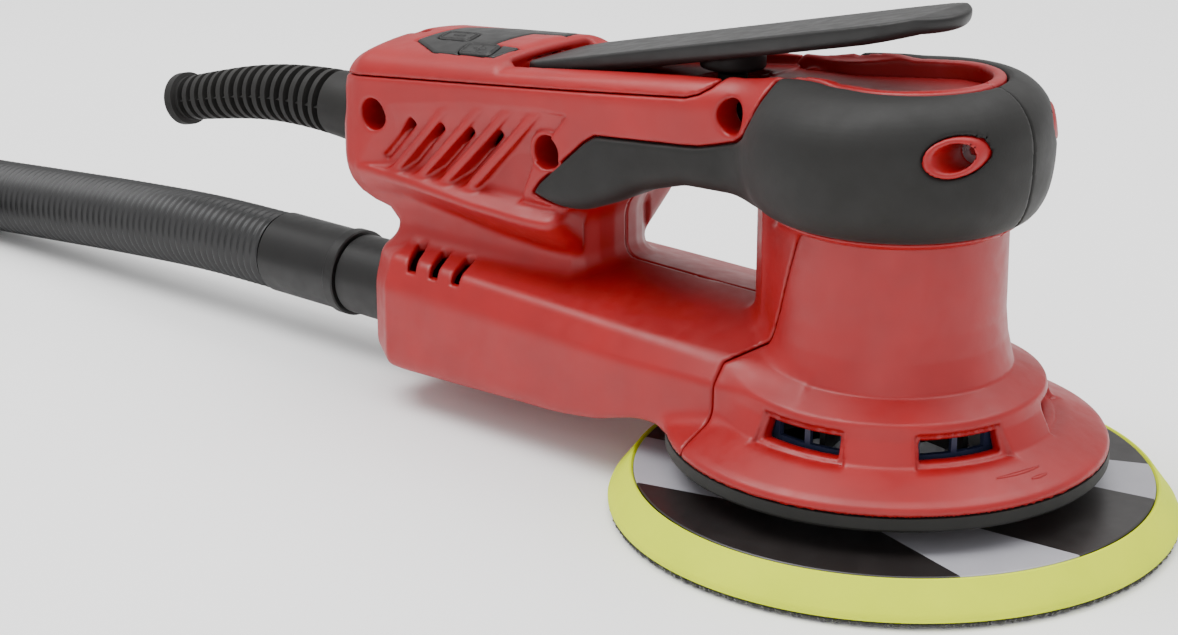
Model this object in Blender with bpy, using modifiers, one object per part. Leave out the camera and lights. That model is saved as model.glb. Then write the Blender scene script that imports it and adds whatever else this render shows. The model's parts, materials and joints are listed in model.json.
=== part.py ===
"""Dual action polisher with a dust hose, modelled as an assembly of separate pieces.

+X is the head end, +Z is up, and the origin is the centre of the pad's face. The drive axis
stands one orbit radius behind the origin. Outlines and places are written in millimetres from
the drive axis, and MM turns them into Blender's metres.
"""
import math

import bmesh
import bpy
from mathutils import Vector

MM = 0.001
GAP = 0.3                      # clearance between touching pieces
ORBIT = 2.5                    # pad axis to drive axis, half of the 5 mm orbit

# Pad
PAD_RADIUS = 75.0
PAD_TOP_RADIUS = 68.0
HOOK_HEIGHT = 1.2
FOAM_TOP = 9.0
PLATE_TOP = 10.8
DUST_HOLE_RADIUS = 5.0
DUST_HOLE_CIRCLE = 40.0
DUST_HOLES = 6

# Head, neck and flange
RIM_RADIUS = 57.5
RIM_LOW = 20.7
STEP_RADIUS = 40.7
STEP_TOP = 37.3
NECK_TOP = 81.4
WALL = 2.5
HEAD_RADIUS = 39.4
RUBBER = 2.4
WINDOW_ANGLES = (-88, -30, 30, 88)
WINDOW_WIDTH = 30              # degrees

# Handle: its top is a plane rising to the front with a crown across
TOP_AT_AXIS = 117.5
TOP_SLOPE = 0.0875
SIDE = 26.0                    # half width of the handle
LEVER_SLOPE = 0.24
LEVER_PIN = (-106.0, 99.0)
PLUNGER_X = -52.0
CHANNEL_REAR = -161.0
PORT_Z = 23.2
PORT_RADIUS = 12.2
PORT_END = -192.0
CUFF_END = -225.7
HOSE_RADIUS = 12.3
RELIEF_Z = 75.0

# Screws through the two housing halves: x and z of each axis
CASE_SCREWS = {"rear": (-160.0, 84.0), "middle": (-93.0, 85.0), "front": (-33.0, 104.0),
               "head": (30.8, 105.0)}
SCREW_HEAD_Y = -14.0
BOSS_RADIUS = 5.5

# The hose's route, in metres from the origin, laid on the floor beyond the rear
HOSE_LEG = ((-0.2285, 0.0, 0.0232), (-0.262, 0.0, 0.0226), (-0.300, 0.0, 0.0202),
            (-0.345, 0.0, 0.0165), (-0.378, 0.0, 0.0138))
COIL_CENTRE = (-0.405, -0.130)
COIL_RADII = (0.130, 0.078)
COIL_ANGLES = (90, 540, 30)
HOSE_WALL = 2.0
HOSE_POINT_SPACING = 0.042
END_CUFF_LENGTH = 45.0

RED = ("red_plastic", (0.50, 0.035, 0.033), 0.45, 0.0)
RUBBER_BLACK = ("black_rubber", (0.032, 0.030, 0.029), 0.75, 0.0)
BLACK = ("black_plastic", (0.028, 0.027, 0.027), 0.5, 0.0)
NAVY = ("navy_plastic", (0.02, 0.03, 0.07), 0.4, 0.0)
STEEL = ("steel", (0.55, 0.55, 0.56), 0.3, 1.0)
IRON = ("laminated_steel", (0.30, 0.30, 0.32), 0.45, 1.0)
COPPER = ("copper", (0.72, 0.33, 0.16), 0.35, 1.0)
ALUMINIUM = ("aluminium", (0.70, 0.70, 0.72), 0.4, 1.0)
BOARD = ("circuit_board", (0.02, 0.16, 0.06), 0.5, 0.0)
FOAM = ("yellow_foam", (0.74, 0.78, 0.08), 0.8, 0.0)
LABEL = ("label", (0.03, 0.028, 0.03), 0.4, 0.0)
LENS = ("lens", (0.35, 0.02, 0.02), 0.15, 0.0)
MAGNET = ("magnet", (0.16, 0.16, 0.17), 0.35, 1.0)


# ---------------------------------------------------------------- helpers
def clear_scene():
    for item in list(bpy.data.objects):
        bpy.data.objects.remove(item, do_unlink=True)


def new_collection(name):
    collection = bpy.data.collections.new(name)
    bpy.context.scene.collection.children.link(collection)
    return collection


def material(spec):
    name, colour, roughness, metallic = spec
    if name in bpy.data.materials:
        return bpy.data.materials[name]
    made = bpy.data.materials.new(name)
    made.use_nodes = True
    shader = made.node_tree.nodes["Principled BSDF"]
    shader.inputs["Base Color"].default_value = (*colour, 1.0)
    shader.inputs["Roughness"].default_value = roughness
    shader.inputs["Metallic"].default_value = metallic
    return made


def place(name, mesh, spec=None, parent=None):
    """Link a mesh as a part when it has a material, and as a hidden cutter when it has none."""
    item = bpy.data.objects.new(name, mesh)
    if spec:
        PARTS.objects.link(item)
        mesh.materials.append(material(spec))
    else:
        CUTTERS.objects.link(item)
        item.hide_render = True
        item.display_type = "WIRE"
    item.parent = parent or MACHINE
    return item


def finish(bm, name, spec=None, parent=None, smooth=True):
    bmesh.ops.recalc_face_normals(bm, faces=bm.faces)
    mesh = bpy.data.meshes.new(name)
    bm.to_mesh(mesh)
    bm.free()
    if smooth:
        mesh.shade_smooth()
        mesh.set_sharp_from_angle(angle=math.radians(35))
    return place(name, mesh, spec, parent)


def loft(name, rings, spec=None, parent=None):
    """Skin a list of rings of points, given in millimetres, and cap both ends."""
    bm = bmesh.new()
    loops = [[bm.verts.new(Vector(point) * MM) for point in ring] for ring in rings]
    count = len(loops[0])
    for low, high in zip(loops, loops[1:]):
        for i in range(count):
            j = (i + 1) % count
            bm.faces.new((low[i], low[j], high[j], high[i]))
    bm.faces.new(loops[0])
    bm.faces.new(loops[-1])
    return finish(bm, name, spec, parent)


def prism(name, outline, low, high, spec=None, parent=None, along="Y"):
    """Extrude a flat outline from low to high along Y (outline in XZ), X (YZ) or Z (XY)."""
    def point(u, v, w):
        return {"Y": (u, w, v), "X": (w, u, v), "Z": (u, v, w)}[along]
    return loft(name, [[point(u, v, w) for u, v in outline] for w in (low, high)], spec, parent)


def box(name, low, high, spec=None, parent=None):
    outline = ((low[0], low[1]), (high[0], low[1]), (high[0], high[1]), (low[0], high[1]))
    return prism(name, outline, low[2], high[2], spec, parent, along="Z")


def circle(radius, count, centre=(0.0, 0.0), start=0.0):
    turns = (start + math.tau * i / count for i in range(count))
    return [(centre[0] + radius * math.cos(a), centre[1] + radius * math.sin(a)) for a in turns]


def rod(name, centre, radius, low, high, spec=None, parent=None, along="Z", count=12):
    return prism(name, circle(radius, count, centre), low, high, spec, parent, along)


def turned(name, profile, spec=None, parent=None, steps=32, closed=True, centre=(0.0, 0.0)):
    """Turn an (r, z) profile that runs down its outer side about a vertical axis."""
    bm = bmesh.new()
    verts = [bm.verts.new((r * MM, 0.0, z * MM)) for r, z in profile]
    for a, b in zip(verts, verts[1:]):
        bm.edges.new((a, b))
    if closed:
        bm.edges.new((verts[-1], verts[0]))
    mesh = bpy.data.meshes.new(name)
    bm.to_mesh(mesh)
    bm.free()
    item = place(name, mesh, spec, parent)
    item.location = (centre[0] * MM, centre[1] * MM, 0.0)
    screw = item.modifiers.new("Turn", "SCREW")
    screw.steps = steps
    screw.render_steps = steps
    screw.use_merge_vertices = True
    screw.merge_threshold = 0.00001
    screw.use_smooth_shade = True
    return item


def ring(name, inner, outer, low, high, spec=None, parent=None, steps=28, centre=(0.0, 0.0)):
    profile = ((outer, high), (outer, low), (inner, low), (inner, high))
    return turned(name, profile, spec, parent, steps, True, centre)


def boolean(item, operation, *cutters):
    for cutter in cutters:
        modifier = item.modifiers.new(operation.title(), "BOOLEAN")
        modifier.operation = operation
        modifier.object = cutter
    return item


def cut(item, *cutters):
    return boolean(item, "DIFFERENCE", *cutters)


def join(item, *others):
    return boolean(item, "UNION", *others)


def keep(item, *others):
    return boolean(item, "INTERSECT", *others)


def top_line(x):
    return TOP_AT_AXIS + TOP_SLOPE * x


def rounded_section(x, half, low, high, radius, crown=0.0, steps=2):
    """A ring in the YZ plane at x: a rounded rectangle whose top rises by crown in the middle."""
    corners = ((half, low, -90), (half, high, 0), (-half, high, 90), (-half, low, 180))
    points = []
    for index, (y, z, start) in enumerate(corners):
        cy = y - math.copysign(radius, y)
        cz = z + (radius if z == low else -radius)
        for i in range(steps + 1):
            a = math.radians(start + 90.0 * i / steps)
            points.append((x, cy + radius * math.cos(a), cz + radius * math.sin(a)))
        if index == 1 and crown:
            points += [(x, y * 0.45, high + crown * 0.8), (x, 0.0, high + crown),
                       (x, -y * 0.45, high + crown * 0.8)]
    return points


def top_plane(x):
    """The level of the head's rim and of the control panel's edge, under the crown."""
    return TOP_AT_AXIS - 1.2 + TOP_SLOPE * x


def on_top(name, outline, low, high, spec=None, parent=None):
    """Extrude an XY outline between two levels that run parallel to the handle's top."""
    rings = [[(x, y, top_plane(x) + level) for x, y in outline] for level in (low, high)]
    return loft(name, rings, spec, parent)


def mirrored(points):
    """Close an outline given for +Y, front to rear, with its mirror image."""
    return list(points) + [(x, -y) for x, y in reversed(points)]


# ---------------------------------------------------------------- outer and inner forms
def handle_form(name, inset, roof=0.0, rear=0.0, spec=None):
    """The handle bar. inset moves the sides in, roof lowers its top and rear cuts its end."""
    sections = ((-175.0, 21.0, 66.0, 5.5), (-172.0, 24.5, 62.5, 2.6), (-166.0, SIDE, 61.0, 0.0),
                (-97.0, SIDE, 67.0, 0.0), (-84.0, 25.8, 69.5, 0.0), (-74.0, 25.4, 73.5, 0.0),
                (-66.0, 25.0, 78.0, 0.0), (-52.0, 24.4, 82.0, 0.0), (-12.0, 20.0, 82.0, 0.0))
    rings = []
    for x, half, low, drop in sections:
        high = top_line(x) - 3.2 - drop - roof
        rings.append(rounded_section(x + (rear if x < -160 else 0.0), half - inset, low + inset,
                                     high, 5.0 - min(inset, 3.0), crown=3.2))
    return loft(name, rings, spec)


BULB = ((30.0, 81.4), (34.0, 82.2), (37.0, 85.5), (39.0, 91.0), (HEAD_RADIUS, 99.0),
        (38.0, 106.0), (34.5, 111.5), (29.5, 114.8), (23.0, 116.0))


def inset_profile(profile, distance):
    """Move an (r, z) profile that runs bottom to top inwards by a distance."""
    moved = []
    for i, (r, z) in enumerate(profile):
        before = Vector(profile[max(i - 1, 0)])
        after = Vector(profile[min(i + 1, len(profile) - 1)])
        along = (after - before).normalized()
        moved.append((r - along.y * distance, z + along.x * distance))
    return moved


def bulb_form(name, inset, count=30):
    """The head: turned, with its upper rings sheared to follow the handle's slope."""
    low, high = BULB[0][1], BULB[-1][1]
    rings = []
    for r, z in inset_profile(BULB, inset):
        share = (z - low) / (high - low)
        rings.append([(x, y, z + TOP_SLOPE * x * share) for x, y in circle(r, count)])
    return loft(name, rings)


def channel_form(name, inset, rear):
    """The dust channel: an eight-sided tube that flares into the flange."""
    sections = ((CHANNEL_REAR, 25.5, 12.6, 35.0, 22.5, 43.6, 49.5),
                (-150.0, 33.0, 10.8, 36.6, 29.5, 45.0, 52.0),
                (-88.0, 34.8, 13.2, 36.0, 31.0, 43.8, 50.8),
                (-66.0, 35.8, 17.0, 35.6, 31.4, 43.3, 50.4),
                (-59.0, 36.2, 20.8, 35.6, 31.6, 43.2, 50.2),
                (-8.0, 36.6, 20.8, 37.2, 31.0, 42.4, 49.6))
    rings = []
    for x, half, low, crease, upper_half, upper, seam in sections:
        x = max(x, rear)
        h, u = half - inset, upper_half - inset
        low, crease, upper, seam = low + inset, crease - inset * 0.2, upper - inset, seam - inset
        rings.append([(x, h - 4.0, low), (x, h, low + 4.0), (x, h, crease), (x, u, upper),
                      (x, 4.0, seam), (x, -4.0, seam), (x, -u, upper), (x, -h, crease),
                      (x, -h, low + 4.0), (x, 4.0 - h, low)])
    return loft(name, rings)


def neck_form(name, profile, steps=36):
    return turned(name, profile, closed=False, steps=steps)


def teardrop(grow):
    """The rim round the recess in the head's top: round in front, with a waist behind."""
    arc = [(6.0 + (21.5 + grow) * math.cos(a), (21.5 + grow) * math.sin(a))
           for a in (math.radians(3 + 92 * i / 8) for i in range(9))]
    return mirrored(arc + [(-12.0, 18.6 + grow), (-23.0, 16.4 + grow), (-34.0, 18.4 + grow),
                           (-43.0, 20.0 + grow), (-54.0, 20.0 + grow)])


def make_forms():
    forms = {}
    forms["handle_core"] = handle_form("handle_core", RUBBER, RUBBER)
    forms["handle_core_clear"] = handle_form("handle_core_clear", RUBBER - GAP, RUBBER - GAP)
    forms["handle_hollow"] = handle_form("handle_hollow", 4.9, roof=-4.0, rear=4.0)
    forms["cover_hollow"] = handle_form("cover_hollow", 4.9, roof=3.4, rear=14.0)
    forms["bulb"] = bulb_form("bulb_outer", 0.0)
    forms["bulb_core"] = bulb_form("bulb_core", RUBBER)
    forms["bulb_core_clear"] = bulb_form("bulb_core_clear", RUBBER - GAP)
    forms["bulb_hollow"] = bulb_form("bulb_hollow", RUBBER + WALL, 20)
    forms["channel"] = channel_form("channel_outer", 0.0, CHANNEL_REAR)
    forms["channel_hollow"] = channel_form("channel_hollow", WALL, CHANNEL_REAR + 3.0)
    forms["neck"] = neck_form("neck_outer", (
        (0.0, 84.0), (29.2, 84.0), (29.2, NECK_TOP), (29.5, 56.4), (32.1, 41.9),
        (STEP_RADIUS, STEP_TOP), (41.5, 34.0), (44.5, 28.5), (55.5, 23.7), (RIM_RADIUS, 22.3),
        (RIM_RADIUS, RIM_LOW), (0.0, RIM_LOW)))
    forms["neck_hollow"] = neck_form("neck_hollow", (
        (0.0, 92.0), (26.7, 92.0), (27.0, 57.0), (29.6, 43.2), (38.2, 34.8), (41.9, 27.2),
        (54.8, 21.5), (55.0, 15.0), (0.0, 15.0)), steps=24)
    forms["post"] = post_form("post_outer", 0.0, 44.0, 80.0)
    forms["post_hollow"] = post_form("post_hollow", WALL, 40.0, 82.0)
    forms["post_clear"] = post_form("post_clear", -GAP, 44.0, 80.0)
    forms["spine"] = prism("spine_outer", spine_outline(0.0), 42.0, 92.0, along="Z")
    forms["spine_clear"] = prism("spine_clear", spine_outline(GAP), 60.0, 93.0, along="Z")
    return forms


def post_form(name, inset, low, high):
    """The web between the handle and the dust channel, with a rounded front."""
    front = [(-93.0 + (5.2 - inset) * math.cos(a), (15.5 - inset) * math.sin(a))
             for a in (math.radians(18 * i) for i in range(6))]
    plan = mirrored(front + [(-110.0, 17.0 - inset), (-135.0, 18.5 - inset),
                             (-175.0, 20.6 - inset)])
    rear = ((-174.0 + inset, high), (-174.0 + inset, 61.5), (-171.0 + inset, 57.5 + inset),
            (-166.5 + inset, 55.5 + inset), (-161.0 + inset, 54.0 + inset),
            (-157.7 + inset, 50.5), (-158.5 + inset, low), (-80.0, low), (-80.0, high))
    return keep(prism(name, plan, low, high, along="Z"), prism(name + "_side", rear, -30.0, 30.0))


def spine_outline(grow):
    """The ridge behind the neck, seen from above."""
    return mirrored([(-15.0, 21.5 + grow), (-31.5 - grow, 15.0 + grow), (-37.0 - grow, 9.0)])


def shroud_zone(name, clear):
    """The side view of everything in front of the slanted shroud seam."""
    outline = ((-22.0 - clear, 46.0), (-29.5 - clear, 41.5), (-29.5 - clear, 8.0), (70.0, 8.0),
               (70.0, NECK_TOP + clear), (-9.2 - clear, NECK_TOP + clear))
    return prism(name, outline, -70.0, 70.0)


def inlay_zone(name, grow):
    """The side view of the rubber inlay that runs back along the handle."""
    outline = ((-99.0 - grow, 71.5), (-80.0 - grow, 91.5 + grow), (-46.0, 94.0 + grow),
               (-40.0, 96.0 + grow), (-31.0, 100.0 + grow), (-20.0, 100.0 + grow),
               (-20.0, 66.0), (-72.0, 66.0), (-82.0, 69.5 - grow), (-92.0, 69.5 - grow))
    return prism(name, outline, -40.0, 40.0)


def cover_zone(name, clear):
    """The side view of the top cover: above the seam, with its curved front end."""
    outline = ((-180.0, 92.8 - clear), (-50.0, 106.4 - clear), (-45.0 + clear, 108.5 - clear),
               (-41.0 + clear, 112.0 - clear), (-39.0 + clear, 117.0), (-39.0 + clear, 126.0),
               (-180.0, 126.0))
    return prism(name, outline, -40.0, 40.0)


TUB = ((-118.0, 92.0), (-97.0, 92.0), (-94.0, 98.6), (-41.2, 105.6), (-41.2, 110.0),
       (-118.0, 103.0))
DECK = ((-118.0, 125.0), (-118.0, 107.4), (-113.5, 103.4), (-57.0, 110.4), (-34.0, 112.9),
        (-34.0, 125.0))
WELL = ((-115.5, 122.0), (-115.5, 99.6), (-111.5, 99.2), (-111.5, 94.6), (-100.5, 94.6),
        (-100.5, 101.0), (-36.0, 109.6), (-36.0, 122.0))
PANEL = ((-129.0, 8.5), (-118.0, 9.5), (-120.0, 18.5), (-143.0, 18.5), (-157.0, 10.0))


def button_outline(centre, grow):
    """A rounded lozenge, swept back on one side."""
    points = []
    for sx, sy, start in ((1, -1, -90), (1, 1, 0), (-1, 1, 90), (-1, -1, 180)):
        for i in range(4):
            a = math.radians(start + 30 * i)
            x = sx * 4.2 + (2.0 + grow) * math.cos(a)
            y = sy * 2.4 + (2.0 + grow) * math.sin(a)
            points.append((centre[0] + x - 0.35 * y, centre[1] + y))
    return points


BUTTONS = {"minus_button": (-146.5, -3.5), "plus_button": (-129.5, -13.6)}


# ---------------------------------------------------------------- casings
def make_casings(forms):
    bosses = [rod("boss_" + name, (x, z), BOSS_RADIUS, -23.0, 23.0, along="Y")
              for name, (x, z) in CASE_SCREWS.items() if name != "head"]
    x, z = CASE_SCREWS["head"]
    head_boss = keep(rod("boss_head", (x, z), BOSS_RADIUS, -30.0, 14.0, along="Y"), forms["bulb"])
    lower = join(prism("shell", circle(1.0, 8, (-100.0, 30.0)), -2.0, 2.0), forms["channel"],
                 forms["neck"], forms["spine"])
    shell = cut(lower, shroud_zone("shroud_zone_clear", GAP))
    red_handle = cut(handle_form("red_handle", 0.0), inlay_zone("inlay_clear", GAP))
    join(shell, red_handle, forms["handle_core"], forms["bulb_core"], forms["post"])
    rim = on_top("rim_block", teardrop(0.0), -14.0, 0.0)
    join(shell, rim)
    cut(shell, forms["handle_hollow"], forms["bulb_hollow"], forms["channel_hollow"],
        forms["neck_hollow"], forms["post_hollow"])
    join(shell, *bosses, head_boss)
    cover_boss = rod("boss_cover", (-165.5, 0.0), 4.5, 84.0, 94.0)
    join(shell, cover_boss)
    cut(shell, cover_zone("cover_clear", GAP))
    cut(shell, on_top("tongue_clear", teardrop(-3.6), -6.3, 4.0))
    for name, (x, z) in CASE_SCREWS.items():
        cut(shell, rod("recess_" + name, (x, z), 3.8, -40.0, SCREW_HEAD_Y + 2.7, along="Y"),
            rod("hole_" + name, (x, z), 2.0, SCREW_HEAD_Y, 18.0, along="Y"))
    cut(shell, rod("cover_screw_hole", (-165.5, 0.0), 1.9, 85.0, 96.0))
    cut(shell, rod("relief_hole", (0.0, RELIEF_Z), 8.4, -180.0, -160.0, along="X"))
    cut(shell, rod("port_hole", (0.0, PORT_Z), 10.1, -165.0, -150.0, along="X", count=28))
    cut_vents(shell)
    for name, low, high in (("housing_right", -70.0, -GAP / 2), ("housing_left", GAP / 2, 70.0)):
        half = box(name, (-190.0, low, 0.0), (70.0, high, 130.0), RED)
        keep(half, shell)

    shroud = prism("front_shroud", circle(1.0, 8, (20.0, 30.0)), -2.0, 2.0, RED)
    join(shroud, forms["channel"], forms["neck"])
    keep(shroud, shroud_zone("shroud_zone", 0.0))
    cut(shroud, forms["neck_hollow"], forms["channel_hollow"])
    for angle in WINDOW_ANGLES:
        cut(shroud, window_cutter(angle))


def window_cutter(angle):
    """A block on a radius of the flange that opens one cooling window."""
    half = math.radians(WINDOW_WIDTH / 2)
    outline = [(r * math.cos(math.radians(angle) + a), r * math.sin(math.radians(angle) + a))
               for r, a in ((35.0, -half), (52.0, -half), (52.0, 0.0), (52.0, half), (35.0, half))]
    return prism("window_%d" % (angle % 360), outline, 28.6, 33.6, along="Z")


def slanted_slot(x, z, length, width, lean):
    """A slot's outline in side view, leaning forward."""
    dx, dz = length / 2 * math.sin(lean), length / 2 * math.cos(lean)
    return [(x - dx - width / 2, z - dz), (x - dx + width / 2, z - dz),
            (x + dx + width / 2, z + dz), (x + dx - width / 2, z + dz)]


def cut_vents(shell):
    lean = math.radians(42)
    for i in range(4):
        outline = slanted_slot(-149.0 + 9.6 * i, 78.0 - 0.2 * i, 17.0, 4.6, lean)
        for side, low, high in (("right", -40.0, -15.0), ("left", 15.0, 40.0)):
            cut(shell, prism("vent_%s_%d" % (side, i), outline, low, high))
    for i in range(3):
        outline = slanted_slot(-142.0 + 8.6 * i, 42.0, 8.5, 2.4, math.radians(52))
        for side, low, high in (("right", -40.0, -19.0), ("left", 19.0, 40.0)):
            cut(shell, prism("slot_%s_%d" % (side, i), outline, low, high))


def make_top_cover(forms):
    cover = keep(handle_form("top_cover", 0.0, spec=RED), cover_zone("cover_zone", 0.0))
    cut(cover, forms["cover_hollow"])
    join(cover, prism("tub", TUB, -18.3, 18.3))
    cut(cover, prism("deck", DECK, -40.0, 40.0))
    join(cover, on_top("tongue", teardrop(-3.9), -6.0, -4.2))
    cut(cover, prism("well", WELL, -16.6, 16.6))
    cut(cover, rod("plunger_hole", (PLUNGER_X, 0.0), 10.4, 96.0, 125.0, count=28))
    cut(cover, rod("pin_hole", LEVER_PIN, 1.8, -17.7, 17.7, along="Y"))
    cut(cover, on_top("panel_pocket", mirrored(scaled(PANEL, GAP)), -3.7, 8.0))
    for name, centre in BUTTONS.items():
        cut(cover, on_top(name + "_hole", button_outline(centre, GAP), -14.0, 4.0))
    cut(cover, on_top("lens_hole", lens_outline(GAP), -14.0, 4.0))
    cut(cover, rod("cover_screw_recess", (-165.5, 0.0), 3.4, 96.4, 110.0),
        rod("cover_screw_way", (-165.5, 0.0), 1.9, 90.0, 99.0))
    return cover


def scaled(outline, grow):
    """Grow the panel's outline, given for +Y, round its front notch as well."""
    middle_x, notch_y = -135.0, 9.8
    return [(x + math.copysign(grow, x - middle_x), y + math.copysign(grow, y - notch_y))
            for x, y in outline]


def lens_outline(grow):
    x, half_x, half_y = -120.5, 3.6 + grow, 2.4 + grow
    return [(x - half_x, -half_y), (x + half_x, -half_y), (x + half_x, half_y),
            (x - half_x, half_y)]


def make_panel():
    panel = keep(handle_form("control_panel", 0.0, spec=BLACK),
                 on_top("panel_zone", mirrored(PANEL), -3.4, 8.0))
    for name, centre in BUTTONS.items():
        cut(panel, bpy.data.objects[name + "_hole"])
        button = handle_form(name, -0.3, spec=BLACK)
        keep(button, on_top(name + "_zone", button_outline(centre, 0.0), -6.3, 8.0))
    on_top("status_lens", lens_outline(0.0), -5.0, -0.4, LENS)


def make_grips(forms):
    rubber = cut(bulb_form("rubber", 0.0), handle_form("handle_clear", -GAP, -GAP))
    inlay = keep(handle_form("inlay", -0.6), inlay_zone("inlay_zone", 0.0))
    join(rubber, inlay)
    cut(rubber, forms["handle_core_clear"], forms["bulb_core_clear"], forms["post_clear"],
        forms["spine_clear"])
    cut(rubber, on_top("rim_clear", teardrop(GAP), -16.0, 6.0))
    x, z = CASE_SCREWS["head"]
    cut(rubber, rod("boss_clear", (x, z), BOSS_RADIUS + GAP, -45.0, 14.5, along="Y"))
    x, z = CASE_SCREWS["front"]
    cut(rubber, rod("front_boss_clear", (x, z), BOSS_RADIUS + GAP, -45.0, 45.0, along="Y"))
    cut(rubber, neck_form("neck_clear", ((0.0, 86.0), (29.5, 86.0), (29.6, 70.0), (0.0, 70.0))))
    for name, low, high in (("grip_right", -70.0, -GAP / 2), ("grip_left", GAP / 2, 70.0)):
        keep(box(name, (-110.0, low, 60.0), (60.0, high, 130.0), RUBBER_BLACK), rubber)


# ---------------------------------------------------------------- flange fittings
def make_flange_fittings():
    turned("skirt_ring", ((RIM_RADIUS + 0.2, 20.4), (RIM_RADIUS + 0.2, 17.2),
                          (RIM_RADIUS - 0.6, 16.5), (51.0, 16.5), (51.0, 20.4)), RUBBER_BLACK)
    louvre = ring("louvre_ring", 36.2, 37.6, 24.6, 34.2, NAVY, steps=32)
    for angle in WINDOW_ANGLES:
        for side in (-7.5, 7.5):
            turn = math.radians(angle + side)
            half = math.radians(6.3)
            outline = [(r * math.cos(turn + a), r * math.sin(turn + a))
                       for r, a in ((34.0, -half), (40.0, -half), (40.0, half), (34.0, half))]
            name = "louvre_cut_%d_%d" % (angle % 360, side > 0)
            cut(louvre, prism(name, outline, 28.8, 33.0, along="Z"))


# ---------------------------------------------------------------- motor and drive
def make_motor():
    stator = ring("stator_core", 16.6, 29.3, 89.2, 99.1, IRON)
    for i in range(9):
        turn = math.tau * i / 9
        slot = prism("stator_slot_%d" % i, ((15.0, -1.6), (20.0, -1.6), (20.0, -2.9),
                                            (26.0, -3.8), (26.0, 3.8), (20.0, 2.9),
                                            (20.0, 1.6), (15.0, 1.6)), 80.0, 105.0, along="Z")
        slot.rotation_euler.z = turn
        cut(stator, slot)
    ring("lower_winding", 16.8, 23.6, 84.5, 88.9, COPPER)
    ring("upper_winding", 16.8, 24.8, 99.4, 102.9, COPPER)
    turned("motor_frame", ((30.4, 88.9), (30.4, 87.0), (26.2, 87.0), (26.2, 43.6), (7.0, 43.6),
                           (7.0, 44.4), (11.3, 44.4), (11.3, 51.0), (14.0, 51.0), (14.0, 46.4),
                           (24.1, 46.4), (24.1, 88.9)), ALUMINIUM, steps=28)
    turned("bearing_bridge", ((24.6, 105.0), (24.6, 103.3), (7.0, 103.3), (7.0, 104.1),
                              (9.4, 104.1), (9.4, 108.6), (11.2, 108.6), (11.2, 105.0)),
           ALUMINIUM, steps=24)
    bearing("lower_bearing", 11.0, 44.7, 50.4)
    bearing("upper_bearing", 9.1, 104.4, 108.2)


def bearing(name, outer, low, high, parent=None, inner=4.3):
    """A ball bearing as one turned body, with a groove between its races on its top face."""
    middle = (inner + outer) / 2
    return turned(name, ((outer, high), (outer, low), (inner, low), (inner, high),
                         (middle - 0.9, high), (middle, high - 0.8), (middle + 0.9, high)),
                  STEEL, parent, steps=20)


def make_drive():
    turned("motor_shaft", ((0.0, 108.9), (3.6, 108.9), (4.0, 108.4), (4.0, 22.9), (0.0, 22.9)),
           STEEL, DRIVE, closed=False, steps=24)
    ring("rotor_core", 4.3, 12.9, 88.6, 99.8, IRON, DRIVE)
    ring("magnet_ring", 13.2, 15.8, 89.2, 99.1, MAGNET, DRIVE)
    make_fan()
    hub = turned("eccentric_hub", ((0.0, 24.6), (8.0, 24.6), (15.6, 22.6), (15.6, 14.7),
                                   (0.0, 14.7)), ALUMINIUM, DRIVE, closed=False, steps=26)
    weight = [(-6.0, 15.0)] + [(29.5 * math.cos(a), 29.5 * math.sin(a)) for a in
                               (math.radians(115 + 130 * i / 12) for i in range(13))]
    join(hub, prism("counterweight", weight + [(-6.0, -15.0)], 17.4, 22.0, None, DRIVE, "Z"))
    cut(hub, rod("bearing_bore", (ORBIT, 0.0), 10.1, 13.0, 21.7, None, DRIVE, count=32),
        rod("shaft_bore", (0.0, 0.0), 4.3, 22.6, 26.0, None, DRIVE, count=24))
    bearing("pad_bearing", 9.8, 15.4, 21.4, DRIVE).location.x = ORBIT * MM


def make_fan():
    """A centrifugal dust fan: a back disc, a hub and one star of swept blades."""
    blades = 11
    star = []
    for i in range(blades):
        for r, turn in ((12.0, -0.10), (33.0, 0.20), (33.0, 0.25), (12.0, 0.05)):
            a = math.tau * i / blades + turn
            star.append((r * math.cos(a), r * math.sin(a)))
    fan = ring("dust_fan", 4.3, 34.0, 33.0, 34.2, BLACK, DRIVE)
    join(fan, prism("fan_blades", star, 25.2, 33.6, None, DRIVE, "Z"))
    cut(fan, rod("fan_bore", (0.0, 0.0), 4.3, 20.0, 36.0, None, DRIVE, count=16))


# ---------------------------------------------------------------- pad
def dust_holes(item, low, high):
    for i in range(DUST_HOLES):
        a = math.tau * (i + 0.5) / DUST_HOLES
        centre = (DUST_HOLE_CIRCLE * math.cos(a), DUST_HOLE_CIRCLE * math.sin(a))
        cut(item, rod("%s_hole_%d" % (item.name, i), centre, DUST_HOLE_RADIUS, low, high,
                      None, PAD, count=12))


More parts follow.
